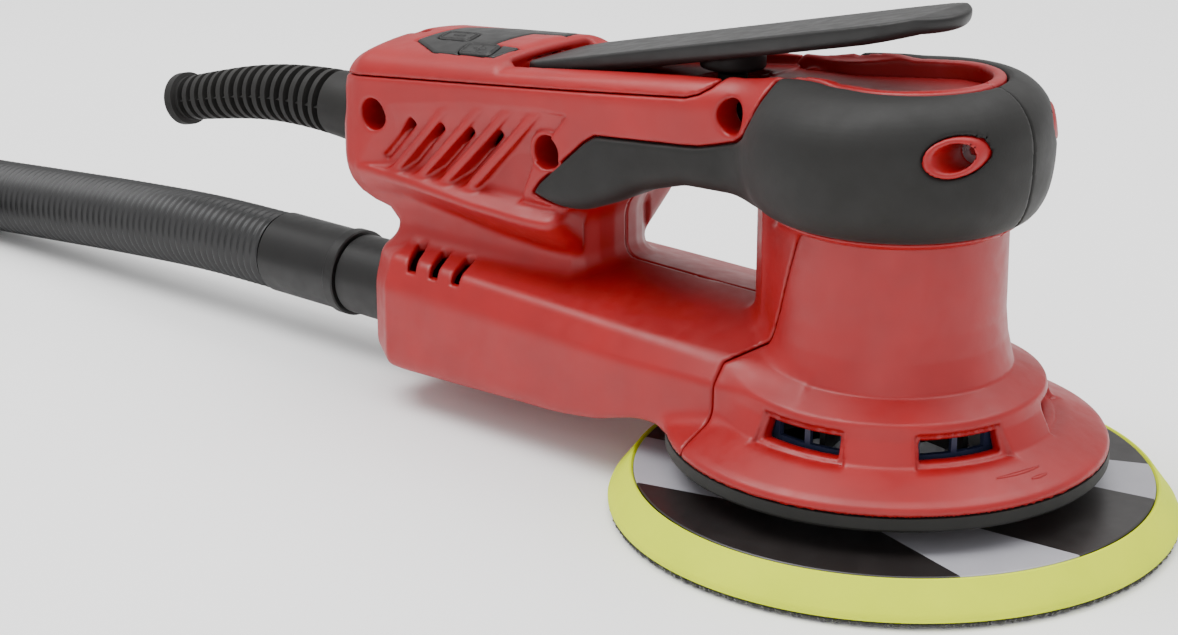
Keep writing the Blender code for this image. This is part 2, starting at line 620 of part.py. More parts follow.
def make_pad():
    hook = turned("hook_face", ((0.0, HOOK_HEIGHT), (74.4, HOOK_HEIGHT), (74.4, 0.0), (0.0, 0.0)),
                  RUBBER_BLACK, PAD, closed=False, steps=38)
    foam = turned("foam_pad", ((0.0, FOAM_TOP), (PAD_TOP_RADIUS + 0.2, FOAM_TOP),
                               (PAD_TOP_RADIUS + 0.2, 10.5), (PAD_TOP_RADIUS + 1.0, 10.5),
                               (PAD_RADIUS, 2.6), (PAD_RADIUS - 0.5, HOOK_HEIGHT + GAP),
                               (0.0, HOOK_HEIGHT + GAP)), FOAM, PAD, closed=False, steps=38)
    plate = turned("pad_plate", ((0.0, PLATE_TOP), (PAD_TOP_RADIUS - 0.1, PLATE_TOP),
                                 (PAD_TOP_RADIUS - 0.1, FOAM_TOP + GAP), (0.0, FOAM_TOP + GAP)),
                   LABEL, PAD, closed=False, steps=38)
    dust_holes(hook, -3.0, 5.0)
    dust_holes(foam, -3.0, 15.0)
    dust_holes(plate, 5.0, 15.0)
    turned("pad_spindle", ((0.0, 21.2), (3.6, 21.2), (4.0, 20.8), (4.0, 13.4), (9.5, 12.6),
                           (9.5, 11.1), (0.0, 11.1)), STEEL, PAD, closed=False, steps=24)


# ---------------------------------------------------------------- lever and switch
def lever_top(x):
    return 103.7 + LEVER_SLOPE * (x + 112.0)


def make_lever():
    pin_x, pin_z = LEVER_PIN
    stations = ((-113.6, 8.0, 1.6), (-112.6, 12.5, 3.0), (-108.0, 15.4, 4.4), (-95.0, 15.8, 4.6),
                (-45.0, 16.0, 4.8), (-8.0, 16.4, 4.8), (4.0, 15.6, 4.6), (11.0, 13.2, 4.3),
                (15.5, 9.4, 3.6), (17.5, 5.6, 2.6))
    rings = []
    for x, half, thick in stations:
        top = lever_top(x) - (4.6 - thick) * 0.3
        section = rounded_section(x, half, top - thick, top - 0.6, (thick - 0.6) * 0.4, 0.6)
        rings.append([(px - pin_x, py, pz - pin_z) for px, py, pz in section])
    lever = loft("lever", rings, BLACK, LEVER)
    join(lever, rod("lever_barrel", (0.0, 0.0), 3.5, -15.4, 15.4, None, LEVER, "Y"))
    boss_x = PLUNGER_X - pin_x
    join(lever, rod("lever_boss", (boss_x, 0.0), 8.8, 110.3 - pin_z, 117.0 - pin_z, None, LEVER,
                    count=24))
    cut(lever, rod("barrel_bore", (0.0, 0.0), 1.8, -20.0, 20.0, None, LEVER, "Y"))
    cut(lever, box("spring_slot", (-6.0, -5.0, -6.0), (5.5, 5.0, 3.4), None, LEVER))
    rod("lever_pin", LEVER_PIN, 1.5, -17.3, 17.3, STEEL, None, "Y", 16)
    make_spring()
    turned("switch_plunger", ((0.0, 6.0), (1.5, 6.0), (4.0, 4.6), (4.0, -6.0), (0.0, -6.0)),
           BLACK, PLUNGER, closed=False, steps=24)
    switch = box("lever_switch", (PLUNGER_X - 8.0, -7.0, 87.4), (PLUNGER_X + 8.0, 7.0, 100.0),
                 BLACK)
    cut(switch, rod("switch_bore", (PLUNGER_X, 0.0), 4.4, 92.6, 104.0, count=24))


def make_spring():
    """A torsion spring wound on the lever pin, with one leg down and one leg forward."""
    turns, per_turn, radius, wire = 5, 8, 2.55, 0.42
    points = [(-radius, -3.6, -3.4)]
    for i in range(turns * per_turn + 1):
        a = math.tau * i / per_turn + math.pi
        points.append((radius * math.cos(a), -3.6 + 1.3 * i / per_turn, -radius * math.sin(a)))
    points.append((points[-1][0], points[-1][1], -3.4))
    wire_curve("lever_spring", points, wire, STEEL,
               Vector((LEVER_PIN[0], 0.0, LEVER_PIN[1])), 1)


def wire_curve(name, points, radius, spec, origin, resolution, parent=None):
    """A round wire along a list of points in millimetres, as a filled POLY curve."""
    curve = bpy.data.curves.new(name, "CURVE")
    curve.dimensions = "3D"
    curve.bevel_depth = radius * MM
    curve.bevel_resolution = resolution
    curve.use_fill_caps = True
    spline = curve.splines.new("POLY")
    spline.points.add(len(points) - 1)
    for target, point in zip(spline.points, points):
        target.co = (*((Vector(point) + origin) * MM), 1.0)
    return place(name, curve, spec, parent)


# ---------------------------------------------------------------- electronics and cord entry
def make_electronics():
    board = box("controller_board", (-150.0, 6.0, 70.0), (-101.0, 7.6, 90.6), BOARD)
    for i, (x, z) in enumerate(((-143.0, 76.0), (-132.0, 76.0), (-121.0, 76.0), (-110.0, 76.0),
                                (-143.0, 86.0), (-127.0, 86.0))):
        join(board, box("chip_%d" % i, (x - 3.4, 7.0, z - 3.0), (x + 3.4, 9.8, z + 3.0)))
    rod("capacitor", (-3.0, 80.0), 7.0, -143.0, -112.0, NAVY, None, "X", 24)
    buttons_board = on_top("button_board", ((-156.0, -16.0), (-121.0, -16.0), (-121.0, 16.0),
                                            (-156.0, 16.0)), -10.2, -8.9, BOARD)
    for name, (x, y) in BUTTONS.items():
        outline = ((x - 3.0, y - 3.0), (x + 3.0, y - 3.0), (x + 3.0, y + 3.0), (x - 3.0, y + 3.0))
        join(buttons_board, on_top(name + "_switch", outline, -9.4, -7.6))


def make_cord_entry():
    """The moulded strain relief: a stem through the rear wall, a sleeve and ribs to its tip."""
    route = ((-167.5, 75.0), (-176.3, 75.0), (-188.0, 75.2), (-199.0, 75.8), (-212.0, 75.6),
             (-225.0, 74.6), (-238.0, 72.6), (-251.0, 69.8), (-262.0, 67.2), (-271.0, 65.0))
    path = smooth_curve([Vector((x, 0.0, z)) for x, z in route], 3.0)
    start = next(i for i, p in enumerate(path) if p.x < -176.3)
    across = Vector((0.0, 1.0, 0.0))
    rings, bore = [], []
    length = len(path) - start
    for i, point in enumerate(path):
        ahead = (path[min(i + 1, len(path) - 1)] - path[max(i - 1, 0)]).normalized()
        share = (i - start) / length
        if i < start:
            radius = 8.0
        elif share < 0.27:
            radius = 10.4 - 3.0 * share
        else:
            radius = 9.8 - 3.6 * (share - 0.27) / 0.73 - (1.6 if i % 2 else 0.0)
        up = ahead.cross(across)
        if i == start:
            rings.append([point + up * u + across * v for u, v in circle(8.0, 12)])
        rings.append([point + up * u + across * v for u, v in circle(radius, 12)])
        if share > 0.4 and i % 4 == 0:
            bore.append([point + up * u + across * v for u, v in circle(3.6, 12)])
    loft("strain_relief", rings + bore[::-1], RUBBER_BLACK)
    clamp = box("cord_clamp", (-158.5, -8.0, 67.5), (-151.5, 4.5, 71.5), BLACK)
    cut(clamp, rod("cord_groove", (-1.5, 74.0), 3.8, -162.0, -148.0, along="X"))


def smooth_curve(points, spacing):
    """Read evenly spaced points from a Catmull-Rom curve through the given points."""
    padded = [points[0] * 2 - points[1]] + list(points) + [points[-1] * 2 - points[-2]]
    dense = []
    for a, b, c, d in zip(padded, padded[1:], padded[2:], padded[3:]):
        for i in range(40):
            t = i / 40
            dense.append(0.5 * (2 * b + (c - a) * t + (2 * a - 5 * b + 4 * c - d) * t * t
                                + (3 * b - a - 3 * c + d) * t ** 3))
    dense.append(points[-1])
    total = sum((q - p).length for p, q in zip(dense, dense[1:]))
    count = max(2, round(total / spacing))
    even, travelled, target = [dense[0]], 0.0, total / count
    for p, q in zip(dense, dense[1:]):
        travelled += (q - p).length
        if travelled >= target - 1e-9 and len(even) < count:
            even.append(q)
            target += total / count
    even.append(points[-1])
    return even


# ---------------------------------------------------------------- dust port and hose
def hose_route():
    """A straight leg from the cuff, then one loose coil on the ground with its end lifted."""
    first, last, step = COIL_ANGLES
    route = [Vector(point) for point in HOSE_LEG]
    for angle in range(first, last + 1, step):
        share = (angle - first) / (last - first)
        radius = COIL_RADII[0] + (COIL_RADII[1] - COIL_RADII[0]) * share
        lift = 0.0013 * max(0.0, 1.0 - (last - angle) / (3.0 * step))
        turn = math.radians(angle)
        route.append(Vector((COIL_CENTRE[0] + radius * math.cos(turn),
                             COIL_CENTRE[1] + radius * math.sin(turn), 0.0127 + lift)))
    return route


def make_hose():
    port = turned_x("dust_port", ((9.8, -152.0), (9.8, CHANNEL_REAR - GAP),
                                  (PORT_RADIUS, CHANNEL_REAR - GAP), (PORT_RADIUS, PORT_END),
                                  (8.4, PORT_END), (8.4, -152.0)), BLACK)
    cuff = turned_x("hose_cuff", ((13.3, PORT_END - GAP), (13.3, -195.5), (12.7, -196.5),
                                  (12.7, CUFF_END), (9.5, CUFF_END), (9.5, PORT_END - GAP)),
                    BLACK)
    for item in (port, cuff):
        item.location.z = PORT_Z * MM
    path = smooth_curve(hose_route(), HOSE_POINT_SPACING)
    outer, inner = [], []
    for i, point in enumerate(path):
        ahead = (path[min(i + 1, len(path) - 1)] - path[max(i - 1, 0)]).normalized()
        if i == len(path) - 1:
            ahead = Vector((0.0, -1.0, 0.0))
        across = ahead.cross(Vector((0.0, 0.0, 1.0))).normalized()
        up = across.cross(ahead)
        for rings, radius in ((outer, HOSE_RADIUS), (inner, HOSE_RADIUS - HOSE_WALL)):
            rings.append([point / MM + up * u + across * v for u, v in circle(radius, 12)])
    loft_loop("dust_hose", outer + inner[::-1], BLACK, PAD)
    end = ring("hose_end_cuff", 10.3, 13.6, -END_CUFF_LENGTH, -GAP, BLACK, PAD)
    end.location = path[-1]
    end.rotation_euler.x = math.radians(-90)


def turned_x(name, profile, spec, count=28):
    """Turn an (r, x) profile about the X axis."""
    rings = [[(x, y, z) for y, z in circle(r, count)] for r, x in profile]
    return loft_loop(name, rings, spec)


def loft_loop(name, rings, spec=None, parent=None):
    """Skin a closed loop of rings, as for a tube with a bore."""
    bm = bmesh.new()
    loops = [[bm.verts.new(Vector(point) * MM) for point in ring_points] for ring_points in rings]
    count = len(loops[0])
    for low, high in zip(loops, loops[1:] + loops[:1]):
        for i in range(count):
            j = (i + 1) % count
            bm.faces.new((low[i], low[j], high[j], high[i]))
    return finish(bm, name, spec, parent)


# ---------------------------------------------------------------- screws
def make_screws():
    for name, (x, z) in CASE_SCREWS.items():
        screw = rod("case_screw_" + name, (x, z), 3.2, SCREW_HEAD_Y, SCREW_HEAD_Y + 2.4, STEEL,
                    None, "Y", 18)
        end = 12.0 if name == "head" else 17.0
        join(screw, rod("shank_" + name, (x, z), 1.6, SCREW_HEAD_Y + 1.0, end, along="Y",
                        count=14))
        cut(screw, rod("drive_" + name, (x, z), 1.3, SCREW_HEAD_Y - 1.0, SCREW_HEAD_Y + 1.2,
                       along="Y", count=6))
    screw = rod("cover_screw", (-165.5, 0.0), 3.0, 96.7, 98.8, STEEL, count=18)
    join(screw, rod("cover_shank", (-165.5, 0.0), 1.5, 86.0, 97.5, count=14))
    cut(screw, rod("cover_drive", (-165.5, 0.0), 1.2, 97.8, 101.0, count=6))


def make_empty(name, location):
    empty = bpy.data.objects.new(name, None)
    empty.empty_display_size = 0.02
    empty.location = Vector(location) * MM
    PARTS.objects.link(empty)
    return empty


clear_scene()
PARTS = new_collection("dual_action_polisher")
CUTTERS = new_collection("cutters")
MACHINE = make_empty("machine_frame", (-ORBIT, 0.0, 0.0))
DRIVE = make_empty("drive_axis", (-ORBIT, 0.0, 0.0))
PAD = make_empty("pad_axis", (0.0, 0.0, 0.0))
LEVER = make_empty("lever_axis", (LEVER_PIN[0] - ORBIT, 0.0, LEVER_PIN[1]))
PLUNGER = make_empty("plunger_axis", (PLUNGER_X - ORBIT, 0.0, 104.0))

FORMS = make_forms()
make_casings(FORMS)
make_top_cover(FORMS)
make_panel()
make_grips(FORMS)
make_flange_fittings()
make_motor()
make_drive()
make_pad()
make_lever()
make_electronics()
make_cord_entry()
make_hose()
make_screws()
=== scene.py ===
"""A dual action polisher with its dust hose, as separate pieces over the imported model.

Shapes are in mm in the row frame, whose origin lies on the drive axis at the floor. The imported
model's origin lies AXIS_X away from it. The front of the machine is +X and its right side is -Y.
Each half of the housing is modelled once, for y >= 0, and mirrored."""

import json
import math
import bpy
import numpy as np
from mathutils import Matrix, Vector


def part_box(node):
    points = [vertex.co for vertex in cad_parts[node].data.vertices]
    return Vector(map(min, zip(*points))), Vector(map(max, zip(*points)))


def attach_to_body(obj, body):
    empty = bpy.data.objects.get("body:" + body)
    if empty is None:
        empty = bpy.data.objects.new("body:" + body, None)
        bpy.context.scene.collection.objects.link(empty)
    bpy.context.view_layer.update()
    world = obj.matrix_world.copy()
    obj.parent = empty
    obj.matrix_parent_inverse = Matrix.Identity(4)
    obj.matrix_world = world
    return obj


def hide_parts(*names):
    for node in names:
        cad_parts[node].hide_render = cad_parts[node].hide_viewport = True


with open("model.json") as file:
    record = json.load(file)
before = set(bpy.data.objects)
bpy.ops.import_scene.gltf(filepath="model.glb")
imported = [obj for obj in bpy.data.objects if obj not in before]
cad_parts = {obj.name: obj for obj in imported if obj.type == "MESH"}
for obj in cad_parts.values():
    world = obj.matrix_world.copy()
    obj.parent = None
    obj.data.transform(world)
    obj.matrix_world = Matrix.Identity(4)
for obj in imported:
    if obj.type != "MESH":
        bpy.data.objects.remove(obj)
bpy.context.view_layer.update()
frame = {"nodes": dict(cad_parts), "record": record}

MM = 0.001
AXIS_X = -2.5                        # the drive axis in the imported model, in mm
STEP = 0.75   # grid steps, in mm
FINE_STEP = 0.6
BUTTON_STEP = 0.3
rng = np.random.default_rng(11)


def linked(name, data):
    """A new object in the scene."""
    made = bpy.data.objects.new(name, data)
    bpy.context.scene.collection.objects.link(made)
    return made


# ---------------------------------------------------------------- camera
def make_camera():
    data = bpy.data.cameras.new("camera")
    data.lens = 79.46
    data.sensor_width = 36.0
    data.clip_start = 0.01
    camera = linked("camera", data)
    camera.location = (0.3448, -0.5347, 0.2729)
    camera.rotation_euler = (math.radians(70.75), 0.0, math.radians(40.0))
    bpy.context.scene.camera = camera


make_camera()


# ---------------------------------------------------------------- materials
def node(tree, kind, **inputs):
    """A shader node with some of its inputs set."""
    made = tree.nodes.new(kind)
    for key, value in inputs.items():
        made.inputs[key.replace("_", " ")].default_value = value
    return made


def rgb(*values):
    """sRGB out of 255 as linear light."""
    return tuple(((v / 255 + 0.055) / 1.055) ** 2.4 if v > 10 else v / 3294.6
                 for v in values) + (1.0,)


def noise_of(tree, coord, scale, detail=3.0):
    made = node(tree, "ShaderNodeTexNoise", Scale=scale, Detail=detail, Roughness=0.55)
    tree.links.new(coord, made.inputs["Vector"])
    return made.outputs["Fac"]


def spread(tree, value, low, high):
    """The middle of a noise, 0.3 to 0.7, spread from low to high."""
    made = node(tree, "ShaderNodeMapRange")
    for index, number in ((1, 0.3), (2, 0.7), (3, low), (4, high)):
        made.inputs[index].default_value = number
    tree.links.new(value, made.inputs[0])
    return made.outputs[0]


def attach(tree, value, socket):
    """Link an output to a socket, or set the socket to a plain value."""
    if hasattr(value, "is_output"):
        tree.links.new(value, socket)
    else:
        socket.default_value = value


def blend_colour(tree, factor, first, second):
    made = tree.nodes.new("ShaderNodeMix")
    made.data_type = "RGBA"
    tree.links.new(factor, made.inputs[0])
    attach(tree, first, made.inputs[6])
    attach(tree, second, made.inputs[7])
    return made.outputs[2]


def new_look(name):
    """A material with its shader and a coordinate fixed to the object."""
    made = bpy.data.materials.new(name)
    made.use_nodes = True
    tree = made.node_tree
    coord = tree.nodes.new("ShaderNodeTexCoord").outputs["Object"]
    return made, tree, tree.nodes["Principled BSDF"], coord


def finish_of(name, first, second, rough, grain=2200.0, bump=0.12, depth=0.00004, metal=0.0,
              mottle=60.0, coat=0.0, sheen=0.0, specular=0.5):
    """A moulded or machined finish: broad mottling, uneven gloss and a fine grain."""
    made, tree, shader, coord = new_look(name)
    broad = noise_of(tree, coord, mottle)
    fine = noise_of(tree, coord, grain, 2.0)
    tree.links.new(blend_colour(tree, spread(tree, broad, 0.0, 1.0), first, second),
                   shader.inputs["Base Color"])
    tree.links.new(spread(tree, noise_of(tree, coord, mottle * 3.7), rough - 0.05, rough + 0.06),
                   shader.inputs["Roughness"])
    lump = node(tree, "ShaderNodeBump", Strength=bump, Distance=depth)
    tree.links.new(fine, lump.inputs["Height"])
    tree.links.new(lump.outputs["Normal"], shader.inputs["Normal"])
    shader.inputs["Metallic"].default_value = metal
    shader.inputs["Coat Weight"].default_value = coat
    shader.inputs["Sheen Weight"].default_value = sheen
    shader.inputs["Specular IOR Level"].default_value = specular
    return made


RED = finish_of("red_moulding", rgb(136, 1, 6), rgb(148, 2, 8), 0.44, bump=0.35)
RUBBER = finish_of("soft_rubber", rgb(17, 16, 15), rgb(22, 21, 19), 0.6, grain=1500.0,
                   bump=0.5, mottle=35.0, sheen=0.03, specular=0.32)
BLACK = finish_of("black_moulding", rgb(16, 15, 15), rgb(21, 20, 19), 0.46, bump=0.35,
                  specular=0.4)
HOSE = finish_of("hose_moulding", rgb(22, 22, 23), rgb(30, 30, 31), 0.42, grain=900.0, bump=0.2,
                 mottle=90.0)
NAVY = finish_of("navy_moulding", rgb(26, 32, 56), rgb(34, 40, 68), 0.45)
STEEL = finish_of("bright_steel", rgb(190, 190, 192), rgb(165, 165, 168), 0.3, metal=1.0)
IRON = finish_of("stacked_steel", rgb(120, 120, 124), rgb(95, 95, 100), 0.45, metal=1.0)
COPPER = finish_of("wound_copper", rgb(190, 110, 70), rgb(160, 84, 50), 0.35, metal=1.0,
                   grain=1200.0, bump=0.6, depth=0.0003)
ALUMINIUM = finish_of("cast_aluminium", rgb(185, 186, 190), rgb(165, 166, 170), 0.42, metal=1.0,
                      bump=0.4)
BOARD = finish_of("green_board", rgb(20, 84, 48), rgb(30, 102, 60), 0.45)
LENS = finish_of("red_lens", rgb(110, 14, 16), rgb(140, 22, 24), 0.18, coat=0.6)
MAGNET = finish_of("plated_magnet", rgb(120, 120, 124), rgb(100, 100, 104), 0.35, metal=1.0)
FOAM = finish_of("yellow_foam", rgb(198, 214, 0), rgb(208, 222, 2), 0.72, grain=700.0,
                 bump=0.35, depth=0.00012, mottle=45.0, specular=0.3)
HOOK = finish_of("hook_fabric", rgb(18, 18, 18), rgb(44, 43, 41), 0.9, grain=1100.0, bump=0.9,
                 depth=0.0004, mottle=700.0, sheen=0.4)

SLOT_LOOKS = {"red_plastic": RED, "black_rubber": RUBBER, "black_plastic": BLACK,
              "navy_plastic": NAVY, "steel": STEEL, "laminated_steel": IRON, "copper": COPPER,
              "aluminium": ALUMINIUM, "circuit_board": BOARD, "yellow_foam": FOAM,
              "label": BLACK, "lens": LENS, "magnet": MAGNET, "hook_fabric": HOOK}


def arithmetic(tree, operation, first, second):
    made = tree.nodes.new("ShaderNodeMath")
    made.operation = operation
    tree.links.new(first, made.inputs[0])
    attach(tree, second, made.inputs[1])
    return made.outputs[0]


# each band lies where nx * x + ny * y is over an offset in mm, for every row
BANDS = (((0.327, 1.0, -29.5), (0.069, -1.0, 21.6), (1.0, 0.0, 0.0)),
         ((-0.169, 1.0, 14.9), (0.43, -1.0, -23.8), (1.0, 0.0, 0.0)),
         ((-0.247, 1.0, -39.6), (0.20, -1.0, 12.0), (-1.0, 0.0, 0.0)))


def banded_label():
    """A dark printed disc with broad pale bands across it."""
    made, tree, shader, coord = new_look("banded_label")
    total = None
    for sides in BANDS:
        inside = None
        for nx, ny, offset in sides:
            across = tree.nodes.new("ShaderNodeVectorMath")
            across.operation = "DOT_PRODUCT"
            across.inputs[1].default_value = (nx, ny, 0.0)
            tree.links.new(coord, across.inputs[0])
            level = arithmetic(tree, "SUBTRACT", across.outputs["Value"], offset * MM)
            inside = level if inside is None else arithmetic(tree, "MINIMUM", inside, level)
        total = inside if total is None else arithmetic(tree, "MAXIMUM", total, inside)
    total = arithmetic(tree, "GREATER_THAN", total, 0.0)
    broad = spread(tree, noise_of(tree, coord, 40.0), 0.0, 1.0)
    ground = blend_colour(tree, broad, rgb(24, 20, 20), rgb(30, 26, 25))
    band = blend_colour(tree, broad, rgb(146, 145, 152), rgb(158, 157, 163))
    tree.links.new(blend_colour(tree, total, ground, band), shader.inputs["Base Color"])
    tree.links.new(spread(tree, noise_of(tree, coord, 150.0), 0.32, 0.42),
                   shader.inputs["Roughness"])
    return made


# ---------------------------------------------------------------- mesh helpers
def piece(name, points, faces, look, body="root", slot=None, replaces=()):
    """A mesh from points in mm in the row frame, riding on a body."""
    mesh = bpy.data.meshes.new(name)
    world = (np.asarray(points, float) + (AXIS_X, 0.0, 0.0)) * MM
    mesh.from_pydata(world.tolist(), [], [list(map(int, f)) for f in faces])
    mesh.validate()
    mesh.update()
    mesh.shade_smooth()
    mesh.materials.append(look)
    made = linked(name, mesh)
    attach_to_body(made, body)
    if replaces:
        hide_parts(*replaces)
    return made


def sharpen(made):
    """Keep edges of over 32 degrees crisp under smooth shading."""
    made.data.set_sharp_from_angle(angle=math.radians(32.0))
    return made


def skin(rings, loop=False):
    """Points and faces of a tube through equal rings, capped or joined end to end."""
    count = len(rings[0])
    points = np.concatenate([np.asarray(r, float) for r in rings])
    faces = []
    for i in range(len(rings) if loop else len(rings) - 1):
        a, b = i * count, ((i + 1) % len(rings)) * count
        for j in range(count):
            k = (j + 1) % count
            faces.append((a + j, a + k, b + k, b + j))
    if not loop:
        faces.append(tuple(range(count - 1, -1, -1)))
        last = (len(rings) - 1) * count
        faces.append(tuple(range(last, last + count)))
    return points, faces


def turned(name, profile, look, body, slot, replaces, count=160, centre=0.0, ragged=None):
    """Turn a closed (r, z) profile about a vertical axis at x = centre."""
    rings = []
    for i in range(count):
        a = math.tau * i / count
        grow = 0.0 if ragged is None else ragged[i]
        rings.append([(centre + (r + grow) * math.cos(a), (r + grow) * math.sin(a), z)
                      for r, z in profile])
    points, faces = skin(rings, loop=True)
    return sharpen(piece(name, points, faces, look, body, slot, replaces))


def along_x(name, profile, z, replaces):
    """Turn a closed (x, r) profile about a line along X at height z, in black moulding."""
    count = 72
    rings = [[(x, r * math.cos(math.tau * j / count), z + r * math.sin(math.tau * j / count))
              for j in range(count)] for x, r in profile]
    points, faces = skin(rings, loop=True)
    return sharpen(piece(name, points, faces, BLACK, "root", "black_plastic", replaces))


def spline(points, spacing):
    """Evenly spaced points on a Catmull-Rom curve."""
    p = [Vector(q) for q in points]
    p = [p[0] * 2 - p[1]] + p + [p[-1] * 2 - p[-2]]
    dense = []
    for a, b, c, d in zip(p, p[1:], p[2:], p[3:]):
        for i in range(60):
            t = i / 60
            dense.append(0.5 * (2 * b + (c - a) * t + (2 * a - 5 * b + 4 * c - d) * t * t
                                + (3 * b - a - 3 * c + d) * t ** 3))
    dense.append(p[-2])
    dense = np.array([tuple(q) for q in dense])
    walked = walked_along(dense)
    at = np.linspace(0.0, walked[-1], max(2, round(walked[-1] / spacing)) + 1)
    return np.stack([np.interp(at, walked, dense[:, i]) for i in range(3)], 1)


def walked_along(path):
    """The distance walked at each point of a path."""
    steps = np.linalg.norm(np.diff(path, axis=0), axis=1)
    return np.concatenate([[0.0], np.cumsum(steps)])


def spokes(path, turn, end=None):
    """Unit vectors around every point of a path that stays near level."""
    ahead = np.gradient(path, axis=0)
    if end is not None:
        ahead[-1] = end
    ahead /= np.linalg.norm(ahead, axis=1, keepdims=True)
    across = np.cross(ahead, (0.0, 0.0, 1.0))
    across /= np.linalg.norm(across, axis=1, keepdims=True)
    up = np.cross(across, ahead)
    cos, sin = np.cos(turn)[None, :, None], np.sin(turn)[None, :, None]
    return across[:, None] * cos + up[:, None] * sin


# ---------------------------------------------------------------- cord: the dust hose
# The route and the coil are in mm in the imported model's frame, as its own hose is.
HOSE_LEG = ((-228.5, 0.0, 23.2), (-262.0, 0.0, 22.6), (-300.0, 0.0, 20.2),
            (-345.0, 0.0, 16.5), (-378.0, 0.0, 13.8))
COIL_CENTRE = (-405.0, -130.0)
COIL_RADII = (130.0, 78.0)         # from the first turn to the end
COIL_ANGLES = (90, 540, 30)        # first, last and step, in degrees
COIL_HEIGHT = 12.7
END_LIFT = 1.3                     # the end rises to meet its cuff
HOSE_PITCH = 2.9
PORT_Z = 23.2


def hose_path():
    """A leg from the cuff, then one loose coil."""
    first, last, step = COIL_ANGLES
    route = list(HOSE_LEG)
    for angle in range(first, last + 1, step):
        share = (angle - first) / (last - first)
        radius = COIL_RADII[0] + (COIL_RADII[1] - COIL_RADII[0]) * share
        lift = END_LIFT * max(0.0, 1.0 - (last - angle) / (3.0 * step))
        turn = math.radians(angle)
        route.append((COIL_CENTRE[0] + radius * math.cos(turn),
                      COIL_CENTRE[1] + radius * math.sin(turn), COIL_HEIGHT + lift))
    return spline(route, HOSE_PITCH / (6))


def make_end_cuff():
    low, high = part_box("hose_end_cuff")
    middle = (low + high) / 2 / MM
    near, far = high.y / MM, low.y / MM
    profile = ((near, 13.2), (near - 0.6, 13.6), (near - 5.0, 13.6), (near - 5.6, 12.9),
               (far + 1.0, 12.7), (far, 12.2), (far, 10.5), (near, 10.4))
    rings = [[(middle.x + r * math.cos(a) - AXIS_X, y, middle.z + r * math.sin(a))
              for a in np.linspace(0.0, math.tau, 64, endpoint=False)] for y, r in profile]
    points, faces = skin(rings, loop=True)
    return sharpen(piece("hose_end_cuff_tube", points, faces, BLACK, "root", "black_plastic",
                         ["hose_end_cuff"]))


def make_hose():
    """The corrugated hose, open at its far end."""
    path = hose_path()
    walked = walked_along(path)
    wave = 0.5 + 0.5 * np.cos(math.tau * walked / HOSE_PITCH)
    radius = 11.1 + 1.15 * wave ** 0.8
    turn = np.linspace(0.0, math.tau, 40, endpoint=False)
    spoke = spokes(path, turn, (0.0, -1.0, 0.0))
    outside = path[:, None] + radius[:, None, None] * spoke
    bore = path[:, None] + 9.9 * spoke
    low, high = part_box("dust_hose")
    loops = np.clip(np.concatenate([outside, bore[::-6]]),
                    np.array(low) / MM + 0.05, np.array(high) / MM - 0.05)
    points, faces = skin(list(loops - (AXIS_X, 0.0, 0.0)), loop=True)
    hose = piece("dust_hose_tube", points, faces, HOSE, "root", "black_plastic", ["dust_hose"])
    cuff = make_end_cuff()


make_hose()


# ---------------------------------------------------------------- distance fields
def smin(a, b, r):
    """The union of two fields, with a fillet that starts r away."""
    h = np.maximum(r - np.abs(a - b), 0.0) / r
    return np.minimum(a, b) - h * h * r * 0.25


def smax(a, b, r):
    """The intersection of two fields, with a rounded edge."""
    return -smin(-a, -b, r)


def polygon(u, v, points):
    """Signed distance to a closed outline, negative inside."""
    u, v = np.broadcast_arrays(u, v)
    best = np.full(u.shape, 1e9)
    inside = np.zeros(u.shape, bool)
    points = list(points)
    for (ax, ay), (bx, by) in zip(points, points[1:] + points[:1]):
        ex, ey = bx - ax, by - ay
        px, py = u - ax, v - ay
        t = np.clip((px * ex + py * ey) / (ex * ex + ey * ey), 0.0, 1.0)
        best = np.minimum(best, (px - t * ex) ** 2 + (py - t * ey) ** 2)
        inside ^= ((ay > v) != (by > v)) & (u < ax + (v - ay) * ex / (ey or 1e-9))
    return np.where(inside, -1.0, 1.0) * np.sqrt(best)


def table(stations, smooth):
    """A smoothed reading of (x, value) stations."""
    xs = np.arange(-240.0, 120.0, 0.5)
    values = np.interp(xs, [s[0] for s in stations], [s[1] for s in stations])
    width = max(1, int(smooth / 0.5)) | 1
    padded = np.pad(values, width // 2, "edge")
    values = np.convolve(padded, np.ones(width) / width, "valid")
    return lambda x: np.interp(x, xs, values)


